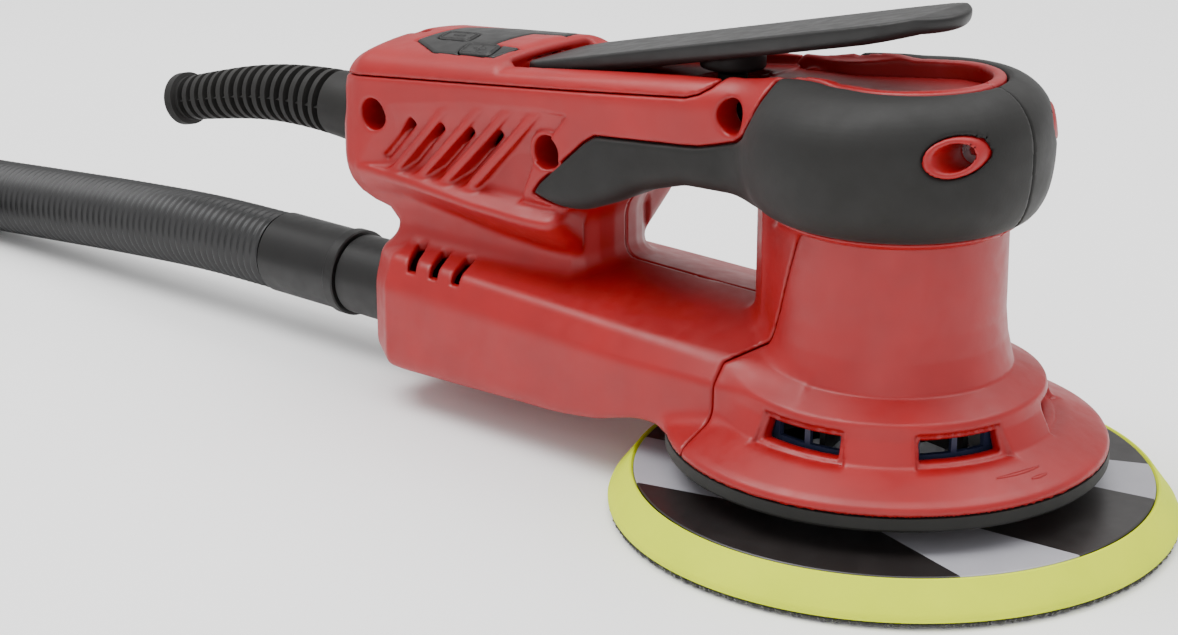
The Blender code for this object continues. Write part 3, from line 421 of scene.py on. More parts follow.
def mesh_field(field, low, high, step):
    """Surface nets over a grid, then each point drawn onto the field's own surface."""
    low = np.array(low, float)
    axes = [np.arange(a, b + step, step) for a, b in zip(low, high)]
    grid = np.meshgrid(*axes, indexing="ij", sparse=True)
    shape = tuple(len(a) for a in axes)
    values = np.broadcast_to(field(*grid), shape)
    inside = values < 0.0
    cells = tuple(n - 1 for n in shape)
    count = np.zeros(cells, np.int8)
    corners = [(i, j, k) for i in (0, 1) for j in (0, 1) for k in (0, 1)]
    for i, j, k in corners:
        count += inside[i:i + cells[0], j:j + cells[1], k:k + cells[2]]
    mixed = (count > 0) & (count < 8)
    where = np.argwhere(mixed)
    index = np.full(cells, -1, np.int64)
    index[mixed] = np.arange(len(where))
    total = np.zeros((len(where), 3))
    hits = np.zeros(len(where))
    for a in corners:
        for axis in range(3):
            if a[axis]:
                continue
            b = np.array(a)
            b[axis] = 1
            va = values[tuple((where + a).T)]
            vb = values[tuple((where + b).T)]
            cross = (va < 0) != (vb < 0)
            share = va[cross] / (va[cross] - vb[cross])
            point = np.tile(np.array(a, float), (cross.sum(), 1))
            point[:, axis] = share
            total[cross] += point
            hits[cross] += 1
    points = low + (where + total / hits[:, None]) * step
    for _ in range(2):
        reach = step * 0.2
        here = field(*points.T)
        slope = np.stack([(field(*(points + d).T) - field(*(points - d).T)) / (2 * reach)
                          for d in np.eye(3) * reach], 1)
        size = np.maximum((slope ** 2).sum(1), 0.25)
        move = slope * (here / size)[:, None]
        length = np.linalg.norm(move, axis=1, keepdims=True)
        points = points - move * np.minimum(1.0, step * 0.35 / np.maximum(length, 1e-9))
    faces = []
    for axis in range(3):
        ahead = [slice(None)] * 3
        back = [slice(None)] * 3
        back[axis], ahead[axis] = slice(0, -1), slice(1, None)
        first, second = inside[tuple(back)], inside[tuple(ahead)]
        u, v = [a for a in range(3) if a != axis]
        spot = np.argwhere(first != second)
        fits = ((spot[:, u] > 0) & (spot[:, v] > 0)
                & (spot[:, u] < cells[u]) & (spot[:, v] < cells[v]))
        spot = spot[fits]
        quad = []
        for du, dv in ((1, 1), (0, 1), (0, 0), (1, 0)):
            cell = spot.copy()
            cell[:, u] -= du
            cell[:, v] -= dv
            quad.append(index[tuple(cell.T)])
        quad = np.stack(quad, 1)
        flip = first[tuple(spot.T)] == (axis == 1)
        quad[flip] = quad[flip][:, ::-1]
        faces.append(quad)
    return points, np.concatenate(faces)


def mirrored(surface):
    points, faces = surface
    return points * (1, -1, 1), faces[:, ::-1]


def both_sides(field):
    """A field made for y >= 0, on both sides."""
    return lambda x, y, z: field(x, np.abs(y), z)


# ---------------------------------------------------------------- outer forms
TOP_AT_AXIS, TOP_SLOPE = 117.5, 0.0875
SIDE = 26.0
NECK_TOP = 81.4
RELIEF_Z = 75.0
JOINT_GAP = 0.15                     # either side of a joint line
MIDDLE_GAP = 0.12
BUTTON_GAP = 0.35
HALF = table(((-176, 20.5), (-172, 24.5), (-166, 26), (-97, 26), (-84, 25.8), (-74, 25.4),
              (-66, 25), (-52, 24.4), (-12, 20)), 3)
LOW = table(((-176, 66.5), (-172, 62.5), (-166, 61), (-97, 67), (-84, 69.5), (-74, 73.5),
             (-66, 78), (-52, 82), (-12, 82)), 4)
DROP = table(((-176, 6.2), (-172, 2.6), (-166, 0), (40, 0)), 3)


def handle(x, y, z):
    half = HALF(x)
    top = TOP_AT_AXIS + TOP_SLOPE * x - DROP(x) - 3.2 * np.clip(y / half, 0.0, 1.15) ** 2
    low = LOW(x) + 0.02 * np.clip(y / half, 0.0, 1.0) ** 2
    f = smax(y - half, z - top, 7.5)
    f = smax(f, low - z, 7.5)
    f = smax(f, -175.0 - x, 4.0)
    return smax(f, x + 12.0, 4.0)


# radius and height round the head
BULB_SIDE = ((29.0, 81.4), (32.6, 81.9), (35.2, 83.4), (37.0, 85.8), (38.3, 89.0), (39.1, 93.5),
             (39.35, 98.5), (39.0, 103.0), (37.9, 106.8), (35.6, 110.4), (32.4, 113.2),
             (28.5, 115.1), (23.0, 116.2))
BULB = ((0.0, NECK_TOP),
        *((r, up) for r, up, _ in spline([row + (0.0,) for row in BULB_SIDE], 1.6)),
        (0.0, 117.4))

def bulb(x, y, z):
    share = np.clip((z - NECK_TOP) / 34.6, 0.0, 1.0)
    radius = np.sqrt(x * x + y * y)
    return polygon(radius, z - TOP_SLOPE * x * share, BULB)


# the dust channel: x, half width, underside, side crease, upper half width and height, top seam
CHANNEL = ((-161.0, 25.5, 12.6, 35.0, 22.5, 43.6, 49.5),
           (-150.0, 33.0, 10.8, 36.6, 29.5, 45.0, 52.0),
           (-88.0, 34.8, 13.2, 36.0, 31.0, 43.8, 50.8),
           (-66.0, 35.8, 17.0, 35.6, 31.4, 43.3, 50.4),
           (-59.0, 36.2, 20.8, 35.6, 31.6, 43.2, 50.2),
           (-8.0, 36.6, 20.8, 37.2, 31.0, 42.4, 49.6))
C_HALF, C_LOW, C_CREASE, C_UPPER, C_UPPER_Z, C_SEAM = (
    table([(row[0], row[i]) for row in CHANNEL], 14 if i == 2 else 1.5) for i in range(1, 7))
C_BOTTOM = table(((-170, 6.0), (-95, 6.0), (-62, 1.6), (0, 1.6)), 5)
CHANNEL_WALL = 2.5


def channel(x, y, z, inset=0.0):
    half, low, crease = C_HALF(x), C_LOW(x), C_CREASE(x)
    upper, upper_z, seam = C_UPPER(x), C_UPPER_Z(x), C_SEAM(x)
    run, rise = half - upper, upper_z - crease
    bevel = ((y - half) * rise + (z - crease) * run) / np.sqrt(run * run + rise * rise)
    run, rise = upper - 5.0, seam - upper_z
    roof = ((y - upper) * rise + (z - upper_z) * run) / np.sqrt(run * run + rise * rise)
    f = smax(y - half, bevel, 1.0)
    f = smax(f, smax(roof, z - seam, 3.0), 1.6)
    f = smax(f, low - z, C_BOTTOM(x)) + inset
    f = smax(f, -161.0 - x + inset, 1.6)
    return smax(f, x + 4.0, 1.0)


# radius and height of the neck, its ring step and the flange
NECK = ((0.0, 96.0), (29.0, 96.0), (29.2, 81.4), (29.5, 56.4), (30.2, 50.0), (32.1, 41.9),
        (40.3, 37.9), (40.7, 37.3), (41.5, 34.0), (44.5, 28.5), (45.4, 28.0), (55.4, 23.8),
        (56.9, 22.9), (57.5, 21.9), (57.5, 20.7), (0.0, 20.7))


def neck(x, y, z):
    return polygon(np.sqrt(x * x + y * y), z, NECK)


POST_PLAN = ((-87.8, 0.0), (-88.2, 4.8), (-89.6, 9.2), (-91.8, 13.0), (-94.5, 15.6),
             (-110.0, 17.0), (-135.0, 18.5), (-176.0, 20.6), (-176.0, -5.0), (-87.8, -5.0))
POST_SIDE = ((-173.5, 78.0), (-173.5, 62.0), (-171.0, 57.8), (-166.5, 55.6), (-161.2, 54.2),
             (-158.2, 51.2), (-158.2, 40.0), (-80.0, 40.0), (-80.0, 78.0))


def post(x, y, z):
    return smax(polygon(x, y, POST_PLAN), polygon(x, z, POST_SIDE), 4.0)


SPINE_PLAN = ((-10.0, 22.0), (-17.0, 21.0), (-30.0, 15.5), (-36.5, 9.0), (-37.4, 0.0),
              (-37.4, -6.0), (-10.0, -6.0))


def spine(x, y, z):
    f = smax(polygon(x, y, SPINE_PLAN), z - 92.0, 2.0)
    return smax(f, 42.0 - z, 1.0)


# outlines in side view, x and z: the front shroud, the top cover and the soft inlay
SHROUD_ZONE = ((-9.2, NECK_TOP), (-22.0, 46.0), (-29.5, 41.5), (-29.5, 8.0), (80.0, 8.0),
               (80.0, NECK_TOP))
COVER_ZONE = ((-190.0, 91.8), (-50.0, 106.4), (-46.4, 107.6), (-43.4, 109.6), (-41.0, 112.4),
              (-39.4, 116.0), (-39.0, 128.0), (-190.0, 128.0))
INLAY_ZONE = ((-100.0, 72.2), (-97.5, 75.6), (-82.0, 89.5), (-78.5, 91.7), (-46.0, 94.2),
              (-40.0, 95.6), (-34.0, 97.4), (-29.4, 100.4), (-26.4, 105.0), (-24.6, 112.0),
              (-24.0, 124.0), (70.0, 128.0), (70.0, 81.2), (-16.0, 81.2), (-28.0, 62.0),
              (-72.0, 62.0), (-82.0, 66.5), (-92.0, 69.2))


def shroud_zone(x, z):
    return polygon(x, z, SHROUD_ZONE)


def top_plane(x):
    """The height of the rim round the recess in the head's top."""
    return TOP_AT_AXIS - 1.2 + TOP_SLOPE * x


def teardrop(x, y, grow=0.0):
    """The plan of the rim round the recess in the head's top: round in front, waisted behind."""
    front = np.sqrt((x - 6.0) ** 2 + y * y) - 21.5
    waist = table(((-60, 20.0), (-43, 20.0), (-34, 18.4), (-23, 16.4), (-12, 18.4), (6, 21.5),
                   (60, 21.5)), 8)
    rear = smax(y - waist(x), x - 6.0, 1.0)
    rear = smax(rear, -56.0 - x, 1.0)
    return np.minimum(front, rear) - grow


def rubber_zone(x, y, z):
    """Where the soft grip shows: the head and the inlay, outside the rim of the recess."""
    zone = polygon(x, z, INLAY_ZONE)
    rim = np.maximum(teardrop(x, y), top_plane(x) - 15.0 - z)
    return smax(zone, -rim, 1.0)


def head_and_handle(x, y, z):
    return smin(handle(x, y, z), bulb(x, y, z), 7.0)


# ---------------------------------------------------------------- casings
def slanted(x, z, centre_x, centre_z, length, width, lean):
    """A slot seen from the side: a rounded bar leaning forward, in degrees from upright."""
    cos, sin = math.cos(math.radians(lean)), math.sin(math.radians(lean))
    along = (x - centre_x) * sin + (z - centre_z) * cos
    across = (x - centre_x) * cos - (z - centre_z) * sin
    a = np.maximum(np.abs(along) - length / 2 + 0.8, 0.0)
    b = np.maximum(np.abs(across) - width / 2 + 0.8, 0.0)
    return np.sqrt(a * a + b * b) - 0.8


RECESS = ((-165.0, 68.4), (-153.6, 87.4), (-150.0, 88.4), (-123.0, 92.9), (-97.0, 95.4),
          (-88.0, 95.6), (-99.0, 82.0), (-106.0, 65.6), (-127.0, 66.2), (-144.0, 67.6))
# x, z and hole radius of the case screws; the last one, in the head, has a red boss
SCREWS = ((-160.0, 84.0, 4.6), (-95.4, 84.2, 4.6), (-35.4, 103.7, 4.6), (30.8, 105.0, 3.4))
SCREW_SEAT = 13.6

# centre x and z, length, width and lean in degrees
VENT_SLOTS = ((-151.1, 77.8, 18.3, 2.9, 41.9), (-141.3, 77.6, 20.9, 2.9, 42.2),
              (-131.2, 77.4, 23.6, 2.9, 42.5), (-121.4, 77.7, 25.5, 2.9, 43.0))
VENT_BARS = ((-142.7, 79.0, 70.0, 2.4, 43.5), (-132.0, 79.4, 70.0, 2.4, 44.6),
             (-122.2, 80.0, 70.0, 2.6, 44.8), (-112.3, 80.6, 70.0, 2.8, 44.2))

# plan ends of the short slots over the dust channel's upper crease
LOW_SLOTS = (((-140.2, 33.4), (-145.5, 21.0)), ((-132.0, 33.4), (-136.1, 21.0)),
             ((-123.9, 33.4), (-126.8, 21.0)))


def bar(u, v, start, end, width):
    """Signed distance to a bar between two points."""
    ex, ey = end[0] - start[0], end[1] - start[1]
    length = math.hypot(ex, ey)
    along = ((u - start[0]) * ex + (v - start[1]) * ey) / length
    across = ((u - start[0]) * ey - (v - start[1]) * ex) / length
    a = np.maximum(np.abs(along - length / 2) - length / 2 + 0.6, 0.0)
    b = np.maximum(np.abs(across) - width / 2 + 0.6, 0.0)
    return np.sqrt(a * a + b * b) - 0.6


LIP_OUT = table(((-168, 0), (-150, 0.9), (-121, 2.2), (-103, 2.4), (-93, 1.2), (-88, 0)), 5)
LIP_Z = table(((-165, 68.2), (-141, 67.0), (-121, 65.6), (-95, 64.8), (-85, 66.4), (-76, 71)), 5)


def nearest(x, z, rows):
    return np.minimum.reduce([slanted(x, z, *row) for row in rows])


def lip(x, y, z):
    """The flared ledge under the vented panel."""
    out, level = SIDE + LIP_OUT(x), LIP_Z(x)
    f = smax(y - out, (z - level - (out - y) * 0.75) * 0.8, 0.9)
    f = smax(f, (level - 1.7 - (out - y) * 0.8 - z) * 0.78, 1.2)
    f = smax(f, -167.0 - x, 2.0)
    return smax(f, x + 91.0, 4.0)


def recess_depth(x, z):
    """How far the vented panel lies below the handle's side."""
    from_top = (88.6 + 0.165 * (x + 150.0)) - z
    from_left = (x + 165.0) * 0.86 - (z - 68.4) * 0.52
    return np.clip(np.minimum(from_top * 0.24, from_left * 0.40), 0.0, 3.4)


def casing(x, y, z):
    """One half of the housing, y from the middle plane outwards."""
    # the dust channel and the rear of the neck, up to the shroud's joint line
    lower = smin(channel(x, y, z), neck(x, y, z), 4.0)
    lower = smin(lower, spine(x, y, z), 4.0)
    lower = smax(lower, -shroud_zone(x, z) + JOINT_GAP, 0.8)
    # the handle, with its sunk panel, vents and the bed of the soft grip
    outer = head_and_handle(x, y, z)
    side = y - HALF(x)
    panel_zone = polygon(x, z, RECESS)
    recess = smax(panel_zone, -side - recess_depth(x, z), 0.6)
    red = smax(outer, -recess, 0.8)
    red = smax(red, -np.maximum(nearest(x, z, VENT_SLOTS), 15.0 - y), 0.6)
    proud = smax(smax(outer + 0.3, nearest(x, z, VENT_BARS), 0.8), panel_zone + 0.6, 0.8)
    red = smin(red, smax(proud, 20.0 - y, 0.5), 0.6)
    zone = rubber_zone(x, y, z)
    red = smax(red, -np.maximum(zone - 0.25, -(outer + 2.7)), 0.8)
    f = smin(smin(post(x, y, z), lower, 5.0), red, 7.0)
    f = smin(f, smax(lip(x, y, z), 14.0 - y, 1.0), 1.5)
    f = smax(f, -polygon(x, z, COVER_ZONE) + JOINT_GAP, 0.8)
    # the hollow inside
    hollow = smax(smax(handle(x, y, z) + 7.0, z - 110.0, 1.0), -polygon(x, z, COVER_ZONE) - 2.0,
                  2.0)
    hollow = np.minimum(hollow, smax(bulb(x, y, z) + 5.2, z - 108.5, 1.0))
    hollow = np.minimum(hollow, channel(x, y, z, CHANNEL_WALL))
    inner = np.sqrt(x * x + y * y)
    hollow = np.minimum(hollow, smax(inner - 26.8, np.abs(z - 62.0) - 42.0, 1.0))
    f = smax(f, -hollow, 0.6)
    # the recess in the head's top, and the slots over the channel's crease
    tray = np.maximum(teardrop(x, y, -3.6), top_plane(x) - 6.3 - z)
    f = smax(f, -smax(tray, -45.0 - x, 1.0), 1.2)
    for start, end in LOW_SLOTS:
        f = smax(f, -np.maximum(bar(x, y, start, end, 2.9), np.abs(z - 46.0) - 4.4), 0.5)
    # screw holes
    for at, up, radius in SCREWS:
        ring = np.sqrt((x - at) ** 2 + (z - up) ** 2)
        if at > 0:
            boss = smax(ring - 4.9, bulb(x, y, z) - 0.5, 0.9)
            f = smin(f, np.maximum(boss, 12.0 - y), 0.6)
        else:
            f = np.minimum(f, np.maximum(ring - 6.0, np.maximum(SCREW_SEAT - y, outer + 1.0)))
        f = smax(f, -np.maximum(ring - radius, SCREW_SEAT - y), 0.9)
    # room for the pressed lever, the buttons, the strain relief and the dust port
    f = smax(f, -np.maximum(pressed_lever(x, y, z) - 0.4, -70.0 - x), 0.5)
    for centre in BUTTONS.values():
        f = np.maximum(f, -np.maximum(button_plan(x, -y, centre) - BUTTON_GAP, 85.0 - z))
    bore = np.sqrt(y * y + (z - RELIEF_Z) ** 2)
    f = np.maximum(f, -np.maximum(bore - 8.2, x + 160.0))
    bore = np.sqrt(y * y + (z - PORT_Z) ** 2)
    f = np.maximum(f, -np.maximum(bore - 10.0, x + 140.0))
    return np.maximum(f, MIDDLE_GAP - y)


# radius and height of the shroud's inside
SHROUD_BORE = ((0.0, 92.0), (26.4, 92.0), (26.6, 57.0), (28.6, 44.0), (36.6, 35.4), (39.6, 27.0),
               (52.0, 20.9), (52.0, 15.0), (0.0, 15.0))
# sweep round the axis and height: each flange window's opening and its sunk frame
WINDOW = ((-11.5, 28.7), (11.5, 28.7), (11.5, 33.7), (-11.5, 33.7))
WINDOW_FRAME = ((-13.6, 27.6), (12.6, 27.6), (12.6, 35.4), (-12.2, 35.4))
WINDOW_TURNS = (30, 88)              # degrees from straight ahead
WINDOW_RADIUS = 43.0


def shroud(x, y, z):
    """The front of the neck, the ring step and the flange."""
    lower = smin(channel(x, y, z), neck(x, y, z), 4.0)
    f = smax(lower, shroud_zone(x, z) + JOINT_GAP, 0.8)
    radius = np.sqrt(x * x + y * y)
    f = smax(f, -polygon(radius, z, SHROUD_BORE), 0.5)
    f = np.maximum(f, -channel(x, y, z, CHANNEL_WALL))
    turn = np.arctan2(y, x)
    for middle in WINDOW_TURNS:
        sweep = (turn - math.radians(middle)) * WINDOW_RADIUS
        f = smax(f, -np.maximum(polygon(sweep, z, WINDOW) - 0.1, 33.0 - radius), 0.8)
        level = 44.1 - (z - 28.0) * 0.45
        f = smax(f, -np.maximum(polygon(sweep, z, WINDOW_FRAME), level - 0.9 - radius), 0.7)
    return f


# side outlines of the cover: the tub over the middle, what is cut above it, and its inside
TUB = ((-118, 92), (-97, 92), (-94, 98.6), (-41.2, 105.6), (-41.2, 110), (-118, 103))
DECK = ((-118, 135), (-118, 107.6), (-113.5, 103.6), (-57, 110.4), (-34, 112.9), (-34, 135))
WELL = ((-115.5, 130), (-115.5, 99.6), (-111.5, 99.2), (-111.5, 94.6), (-100.5, 94.6),
        (-100.5, 101), (-36, 109.6), (-36, 130))


def cover(x, y, z):
    """The top cover, with the well that the lever lies in."""
    f = smax(handle(x, y, z), polygon(x, z, COVER_ZONE) + JOINT_GAP, 0.9)
    hollow = smax(handle(x, y, z) + 3.6, -158.0 - x, 1.0)
    f = smax(f, -hollow, 0.5)
    f = np.minimum(f, smax(polygon(x, z, TUB), y - 18.3, 0.6))
    f = smax(f, -polygon(x, z, DECK), 1.6)
    floor = smax(teardrop(x, y, -3.9), np.abs(z - top_plane(x) + 5.1) - 0.9, 0.3)
    f = np.minimum(f, floor)
    f = smax(f, -smax(polygon(x, z, WELL), y - 16.6, 1.2), 0.8)
    switch_hole = np.sqrt((x - BOSS_X) ** 2 + y * y) - 10.4
    f = np.maximum(f, -np.maximum(switch_hole, 94.0 - z))
    pocket = np.maximum(panel_plan(x, y) - 0.3, top_plane(x) - 3.6 - z)
    f = smax(f, -pocket, 0.5)
    for centre in BUTTONS.values():
        for sign in (1, -1):
            hole = button_plan(x, sign * y, centre) - BUTTON_GAP
            f = np.maximum(f, -np.maximum(hole, 85.0 - z))
    screw = np.sqrt((x + 165.5) ** 2 + y * y)
    return smax(f, -np.maximum(screw - 3.5, 96.4 - z), 0.7)


# plan of the control panel, mirrored in y, and the buttons' centres
PANEL = ((-129.0, -12.0), (-129.0, 8.5), (-118.2, 9.8), (-120.0, 18.3), (-142.6, 18.3),
         (-156.6, 10.2), (-156.6, -12.0))
BUTTONS = {"minus_button": (-146.5, -3.5), "plus_button": (-129.5, -13.6)}


def panel_plan(x, y):
    return polygon(x, np.abs(y), PANEL)


def button_plan(x, y, centre):
    v = y - centre[1]
    u = x - centre[0] + 0.35 * v
    a, b = np.maximum(np.abs(u) - 4.2, 0.0), np.maximum(np.abs(v) - 2.4, 0.0)
    return np.sqrt(a * a + b * b) - 2.0


def panel(x, y, z):
    """The black control panel, on both sides of the middle plane."""
    f = smax(handle(x, np.abs(y), z) - 0.15, panel_plan(x, y), 0.8)
    f = np.maximum(f, top_plane(x) - 3.3 - z)
    for centre in BUTTONS.values():
        f = smax(f, -button_plan(x, y, centre) + 0.3, 0.5)
    return f


def glyph(x, y, centre, plus):
    """A raised outline with a plain minus or plus inside it."""
    v = y - centre[1]
    u = x - centre[0] + 0.35 * v
    line = np.maximum(np.abs(u) - 2.2, np.abs(v) - 0.45)
    if plus:
        line = np.minimum(line, np.maximum(np.abs(v) - 2.0, np.abs(u) - 0.45))
    return np.minimum(line, np.abs(button_plan(x, y, centre) + 1.0) - 0.3)


def button(centre, plus):
    """The field of one button's cap."""
    def field(x, y, z):
        top = handle(x, np.abs(y), z) - 0.35
        raised = np.where(glyph(x, y, centre, plus) < 0.0, 0.28, 0.0)
        f = smax(top - raised, button_plan(x, y, centre), 0.7)
        return np.maximum(f, top_plane(x) - 6.2 - z)
    return field


def grip(x, y, z):
    """One half of the soft grip, which lies in the housing's bed."""
    outer = head_and_handle(x, y, z) - 0.25
    inlay = smax(outer, rubber_zone(x, y, z) + 0.25, 1.6)
    f = smax(inlay, -(outer + 2.4), 0.4)
    f = np.maximum(f, -(post(x, y, z) - 0.3))
    f = np.maximum(f, -(spine(x, y, z) - 0.2))
    radius = np.sqrt(x * x + y * y)
    f = np.maximum(f, -np.maximum(radius - 29.4, z - 92.0))
    for at, up, radius in SCREWS[2:]:
        ring = np.sqrt((x - at) ** 2 + (z - up) ** 2)
        f = smax(f, -np.maximum(ring - radius - 1.7, 6.0 - y), 0.8)
    return smax(f, MIDDLE_GAP - y, 0.5)


LEVER_TRAVEL = math.radians(4.5)
PIN_X, PIN_Z = -106.0, 99.0
BOSS_X = -52.0
LEVER_HALF = table(((-114, 8), (-112.6, 12.5), (-108, 15.4), (-95, 15.8), (-45, 16), (-8, 16.2),
                    (2, 15.9), (20, 15.9)), 2)


def lever(x, y, z):
    """The paddle, its switch boss and the barrel round its pin."""
    y = np.abs(y)
    top = np.minimum(104.5 + 0.24 * (x + 112.0), 134.1)
    nose = np.sqrt((x - 2.2) ** 2 + y * y) - 15.3 - 0.6 * np.clip(1 - (x - 2.2) / 10, 0, 1)
    plan = np.where(x < 2.2, y - LEVER_HALF(x), nose)
    plan = np.maximum(plan, -113.4 - x)
    f = smax(plan, z - top, 1.0)
    thick = 5.2 - 0.9 * np.clip((x + 2.0) / 18.0, 0.0, 1.0)
    f = smax(f, top - thick - z, 3.2)
    boss = smax(np.sqrt((x - BOSS_X) ** 2 + y * y) - 8.8, 110.3 - z, 0.5)
    f = smin(f, np.maximum(boss, z - top + 1.0), 0.8)
    from_pin = np.sqrt((x - PIN_X) ** 2 + (z - PIN_Z) ** 2)
    f = smin(f, np.maximum(from_pin - 3.5, y - 15.4), 1.0)
    spring_room = np.maximum(np.maximum(np.abs(x + 106.2) - 5.8, y - 5.0), z - 102.2)
    f = np.maximum(f, -spring_room)
    return np.maximum(f, 1.7 - from_pin)


def pressed_lever(x, y, z):
    """The lever at the end of its travel."""
    dx, dz = x - PIN_X, z - PIN_Z
    cos, sin = math.cos(LEVER_TRAVEL), math.sin(LEVER_TRAVEL)
    return lever(dx * cos - dz * sin + PIN_X, y, dx * sin + dz * cos + PIN_Z)


def make_shells():
    half = mesh_field(casing, (-178, -1.5, 8), (42, 51, 120), STEP)
    piece("casing_left", *half, RED, "root", "red_plastic", ["housing_left"])
    piece("casing_right", *mirrored(half), RED, "root", "red_plastic", ["housing_right"])
    half = mesh_field(grip, (-103, -1.5, 60), (43, 42, 120), STEP)
    piece("soft_grip_left", *half, RUBBER, "root", "black_rubber", ["grip_left"])
    piece("soft_grip_right", *mirrored(half), RUBBER, "root", "black_rubber", ["grip_right"])
    made = mesh_field(both_sides(shroud), (-32, -60, 19), (60, 60, 83), STEP)
    piece("flange_shroud", *made, RED, "root", "red_plastic", ["front_shroud"])
    made = mesh_field(both_sides(cover), (-178, -28, 90), (30, 28, 122), STEP)
    piece("handle_cover", *made, RED, "root", "red_plastic", ["top_cover"])
    made = mesh_field(panel, (-160, -20, 96), (-115, 20, 112), FINE_STEP)
    piece("key_panel", *made, BLACK, "root", "black_plastic", ["control_panel"])
    for name, (x, y) in BUTTONS.items():
        made = mesh_field(button((x, y), name == "plus_button"),
                          (x - 9, y - 6, top_plane(x) - 8), (x + 9, y + 6, top_plane(x) + 4),
                          BUTTON_STEP)
        piece(name + "_cap", *made, BLACK, name, "black_plastic", [name])
    made = mesh_field(lever, (-115, -18, 94), (20, 18, 136), STEP)
    piece("lever_paddle", *made, BLACK, "lever", "black_plastic", ["lever"])


make_shells()


# ---------------------------------------------------------------- fittings
def make_port_and_cuff():
    mouth = -161.4
    along_x("dust_port_tube", ((-158.0, 9.6), (mouth, 9.6), (mouth, 12.4), (-191.4, 12.2),
                               (-192.0, 11.8), (-192.0, 10.3), (-158.0, 9.2)), PORT_Z,
            ["dust_port"])
    low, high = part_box("hose_cuff")
    rear, front = low.x / MM - AXIS_X, high.x / MM - AXIS_X
    along_x("hose_cuff_tube", ((front, 12.4), (front, 12.9), (front - 0.4, 13.3),
                               (front - 3.6, 13.3), (front - 4.2, 12.8), (front - 8.0, 12.6),
                               (rear + 0.6, 12.6), (rear, 12.2), (rear, 10.6), (front, 10.6)),
            PORT_Z, ["hose_cuff"])


RELIEF_ROUTE = ((-176.3, 0, 75.0), (-188.0, 0, 75.2), (-199.0, 0, 75.8), (-212.0, 0, 75.6),
                (-225.0, 0, 74.6), (-238.0, 0, 72.6), (-251.0, 0, 69.8), (-262.0, 0, 67.2),
                (-270.6, 0, 65.1))
RELIEF_PITCH = 4.3


def make_relief():
    """The ribbed strain relief: a plain sleeve, rings with gaps and four tie bars."""
    path = spline(RELIEF_ROUTE, 0.35)
    walked = walked_along(path)
    total = walked[-1]
    sleeve, tip = 23.0, total - 5.2
    full = np.interp(walked, (0.0, sleeve, tip, total), (10.4, 9.9, 7.0, 6.6))
    phase = ((walked - sleeve) % RELIEF_PITCH) / RELIEF_PITCH
    gap = (walked > sleeve) & (walked < tip) & (phase < 0.46)
    radius = np.where(gap, full - 2.5, full)
    radius = np.where(walked > tip + 1.2, np.minimum(8.3, full + 1.9), radius)
    radius[-2:] -= (0.25, 0.7)
    radius[0] -= 0.3
    turn = np.linspace(0.0, math.tau, 56, endpoint=False)
    ties = (np.abs(np.sin(2 * turn)) < 0.2)[None, :]
    radius = np.where(gap[:, None] & ties, full[:, None] - 0.5, radius[:, None])
    spoke = spokes(path, turn)
    rings = path[:, None] + radius[:, :, None] * spoke
    bore = path[::-12, None][:6] + 3.6 * spoke[::-12][:6]
    points, faces = skin(list(rings) + list(bore))
    sharpen(piece("cord_relief", points, faces, RUBBER, "root", "black_rubber",
                  ["strain_relief"]))


# closed (r, z) profiles
FOAM_PROFILE = ((0.0, 8.8), (68.0, 8.8), (68.1, 10.2), (68.6, 10.7), (69.2, 10.6), (69.7, 9.9),
                (72.2, 6.6), (74.2, 4.0), (74.68, 2.9), (74.62, 2.2), (74.2, 1.6), (0.0, 1.6))
LABEL_PROFILE = ((0.0, 10.75), (67.6, 10.75), (67.9, 10.5), (67.9, 9.2), (0.0, 9.2))
HOOK_PROFILE = ((0.0, 1.3), (73.6, 1.3), (74.1, 1.1), (73.9, 0.5), (73.3, 0.05), (0.0, 0.05))
SKIRT_PROFILE = ((57.6, 20.4), (57.75, 17.6), (57.3, 16.9), (56.6, 16.6), (51.0, 16.6),
                 (51.0, 20.4))


def make_pad():
    low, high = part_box("foam_pad")
    x = (low.x + high.x) / 2 / MM - AXIS_X
    foam = turned("backing_foam", FOAM_PROFILE, FOAM, "pad", "yellow_foam", ["foam_pad"], 200, x)
    turned("pad_label", LABEL_PROFILE, banded_label(), "pad", "label", ["pad_plate"], centre=x)
    count = 900
    ragged = rng.normal(0.0, 0.22, count) + 0.25 * np.sin(np.arange(count) * 0.9)
    turned("hook_layer", HOOK_PROFILE, HOOK, "pad", "hook_fabric", ["hook_face"], count, x,
           np.clip(ragged, -0.5, 0.4))


def make_turn_mark(name, start, end, middle):
    """A thin raised arc on the flange, tapered at both ends, between two angles in degrees."""
    rings = []
    for a in np.radians(np.linspace(start, end, 20)):
        share = math.sin(math.pi * (math.degrees(a) - start) / (end - start))
        half = 0.15 + 0.45 * share
        ring = []
        for out, lift in ((-half, -0.3), (-half * 0.6, 0.3), (half * 0.6, 0.3), (half, -0.3)):
            radius = middle + out
            ring.append((radius * math.cos(-a), radius * math.sin(-a),
                         23.8 + (55.4 - radius) * 0.42 + lift))
        rings.append(ring)
    points, faces = skin(rings)
    piece(name, points, faces, RED, "root", "red_plastic")


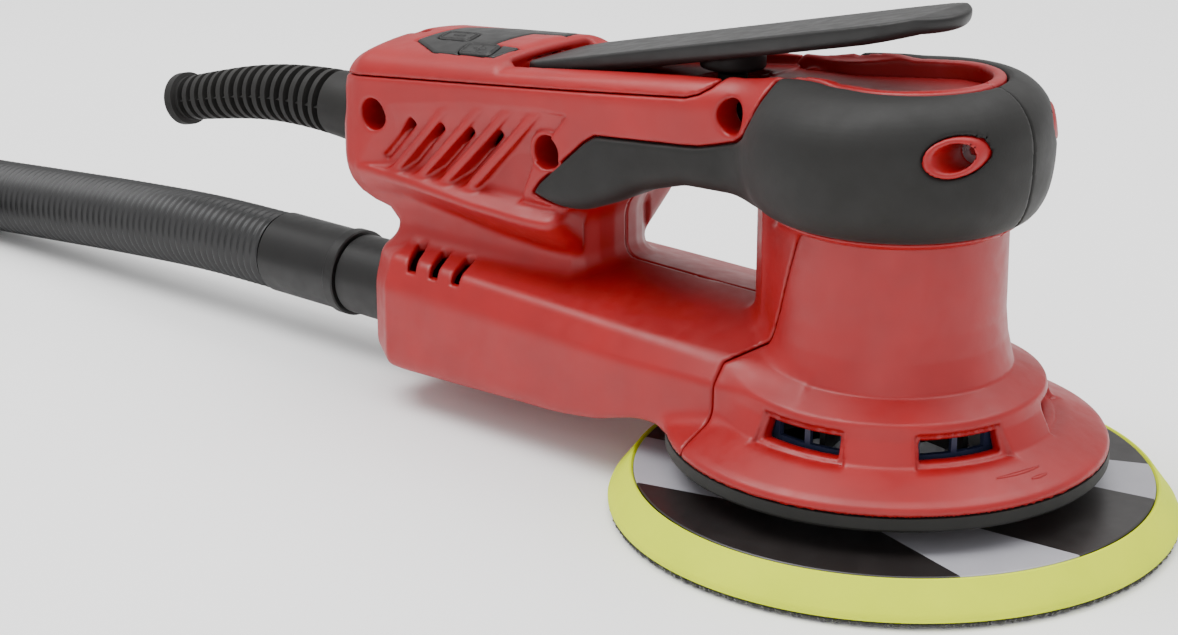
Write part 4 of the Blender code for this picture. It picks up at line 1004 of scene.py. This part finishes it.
make_port_and_cuff()
make_relief()
make_pad()
turned("skirt_band", SKIRT_PROFILE, RUBBER, "root", "black_rubber", ["skirt_ring"])
make_turn_mark("turn_mark_0", 8.0, 24.0, 50.4)
make_turn_mark("turn_mark_1", 8.0, 14.0, 53.0)


def dress_packed_parts():
    """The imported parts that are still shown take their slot's finish and softened edges."""
    slots = {entry["node"]: entry.get("material_slot") for entry in frame["record"]["subparts"]}
    for name, item in frame["nodes"].items():
        if item.hide_render:
            continue
        item.data.materials.clear()
        item.data.materials.append(SLOT_LOOKS[slots[name]])
        bevel = item.modifiers.new("edges", "BEVEL")
        bevel.width = 0.00012
        bevel.segments = 1
        bevel.limit_method = "ANGLE"
        bevel.angle_limit = math.radians(40)


dress_packed_parts()


# ---------------------------------------------------------------- stage and light
LIGHT_TARGET = (-0.05, 0.0, 0.05)
# place, size in m and power in W
LIGHTS = {"key": ((-0.6, -0.4, 1.5), 1.0, 26.0),
          "top": ((0.3, 0.4, 1.5), 1.4, 22.0),
          "front": ((0.7, -1.3, 0.5), 1.2, 5.0)}


def make_stage():
    mesh = bpy.data.meshes.new("floor")
    mesh.from_pydata([(-4, -4, 0), (4, -4, 0), (4, 4, 0), (-4, 4, 0)], [], [(0, 1, 2, 3)])
    floor = linked("floor", mesh)
    floor.location.z = -0.0002
    mesh.materials.append(finish_of("pale_floor", rgb(246, 246, 246), rgb(250, 250, 250), 0.8,
                                    mottle=3.0, grain=300.0, bump=0.05, specular=0.1))
    world = bpy.data.worlds.new("studio")
    world.use_nodes = True
    background = world.node_tree.nodes["Background"]
    background.inputs[0].default_value = (1.0, 1.0, 1.0, 1.0)
    background.inputs[1].default_value = 0.85
    bpy.context.scene.world = world
    for name, (place, size, watts) in LIGHTS.items():
        data = bpy.data.lights.new(name, "AREA")
        data.size = size
        data.energy = watts
        light = linked(name, data)
        light.location = place
        aim = Vector(LIGHT_TARGET) - Vector(place)
        light.rotation_euler = aim.to_track_quat("-Z", "Y").to_euler()


make_stage()
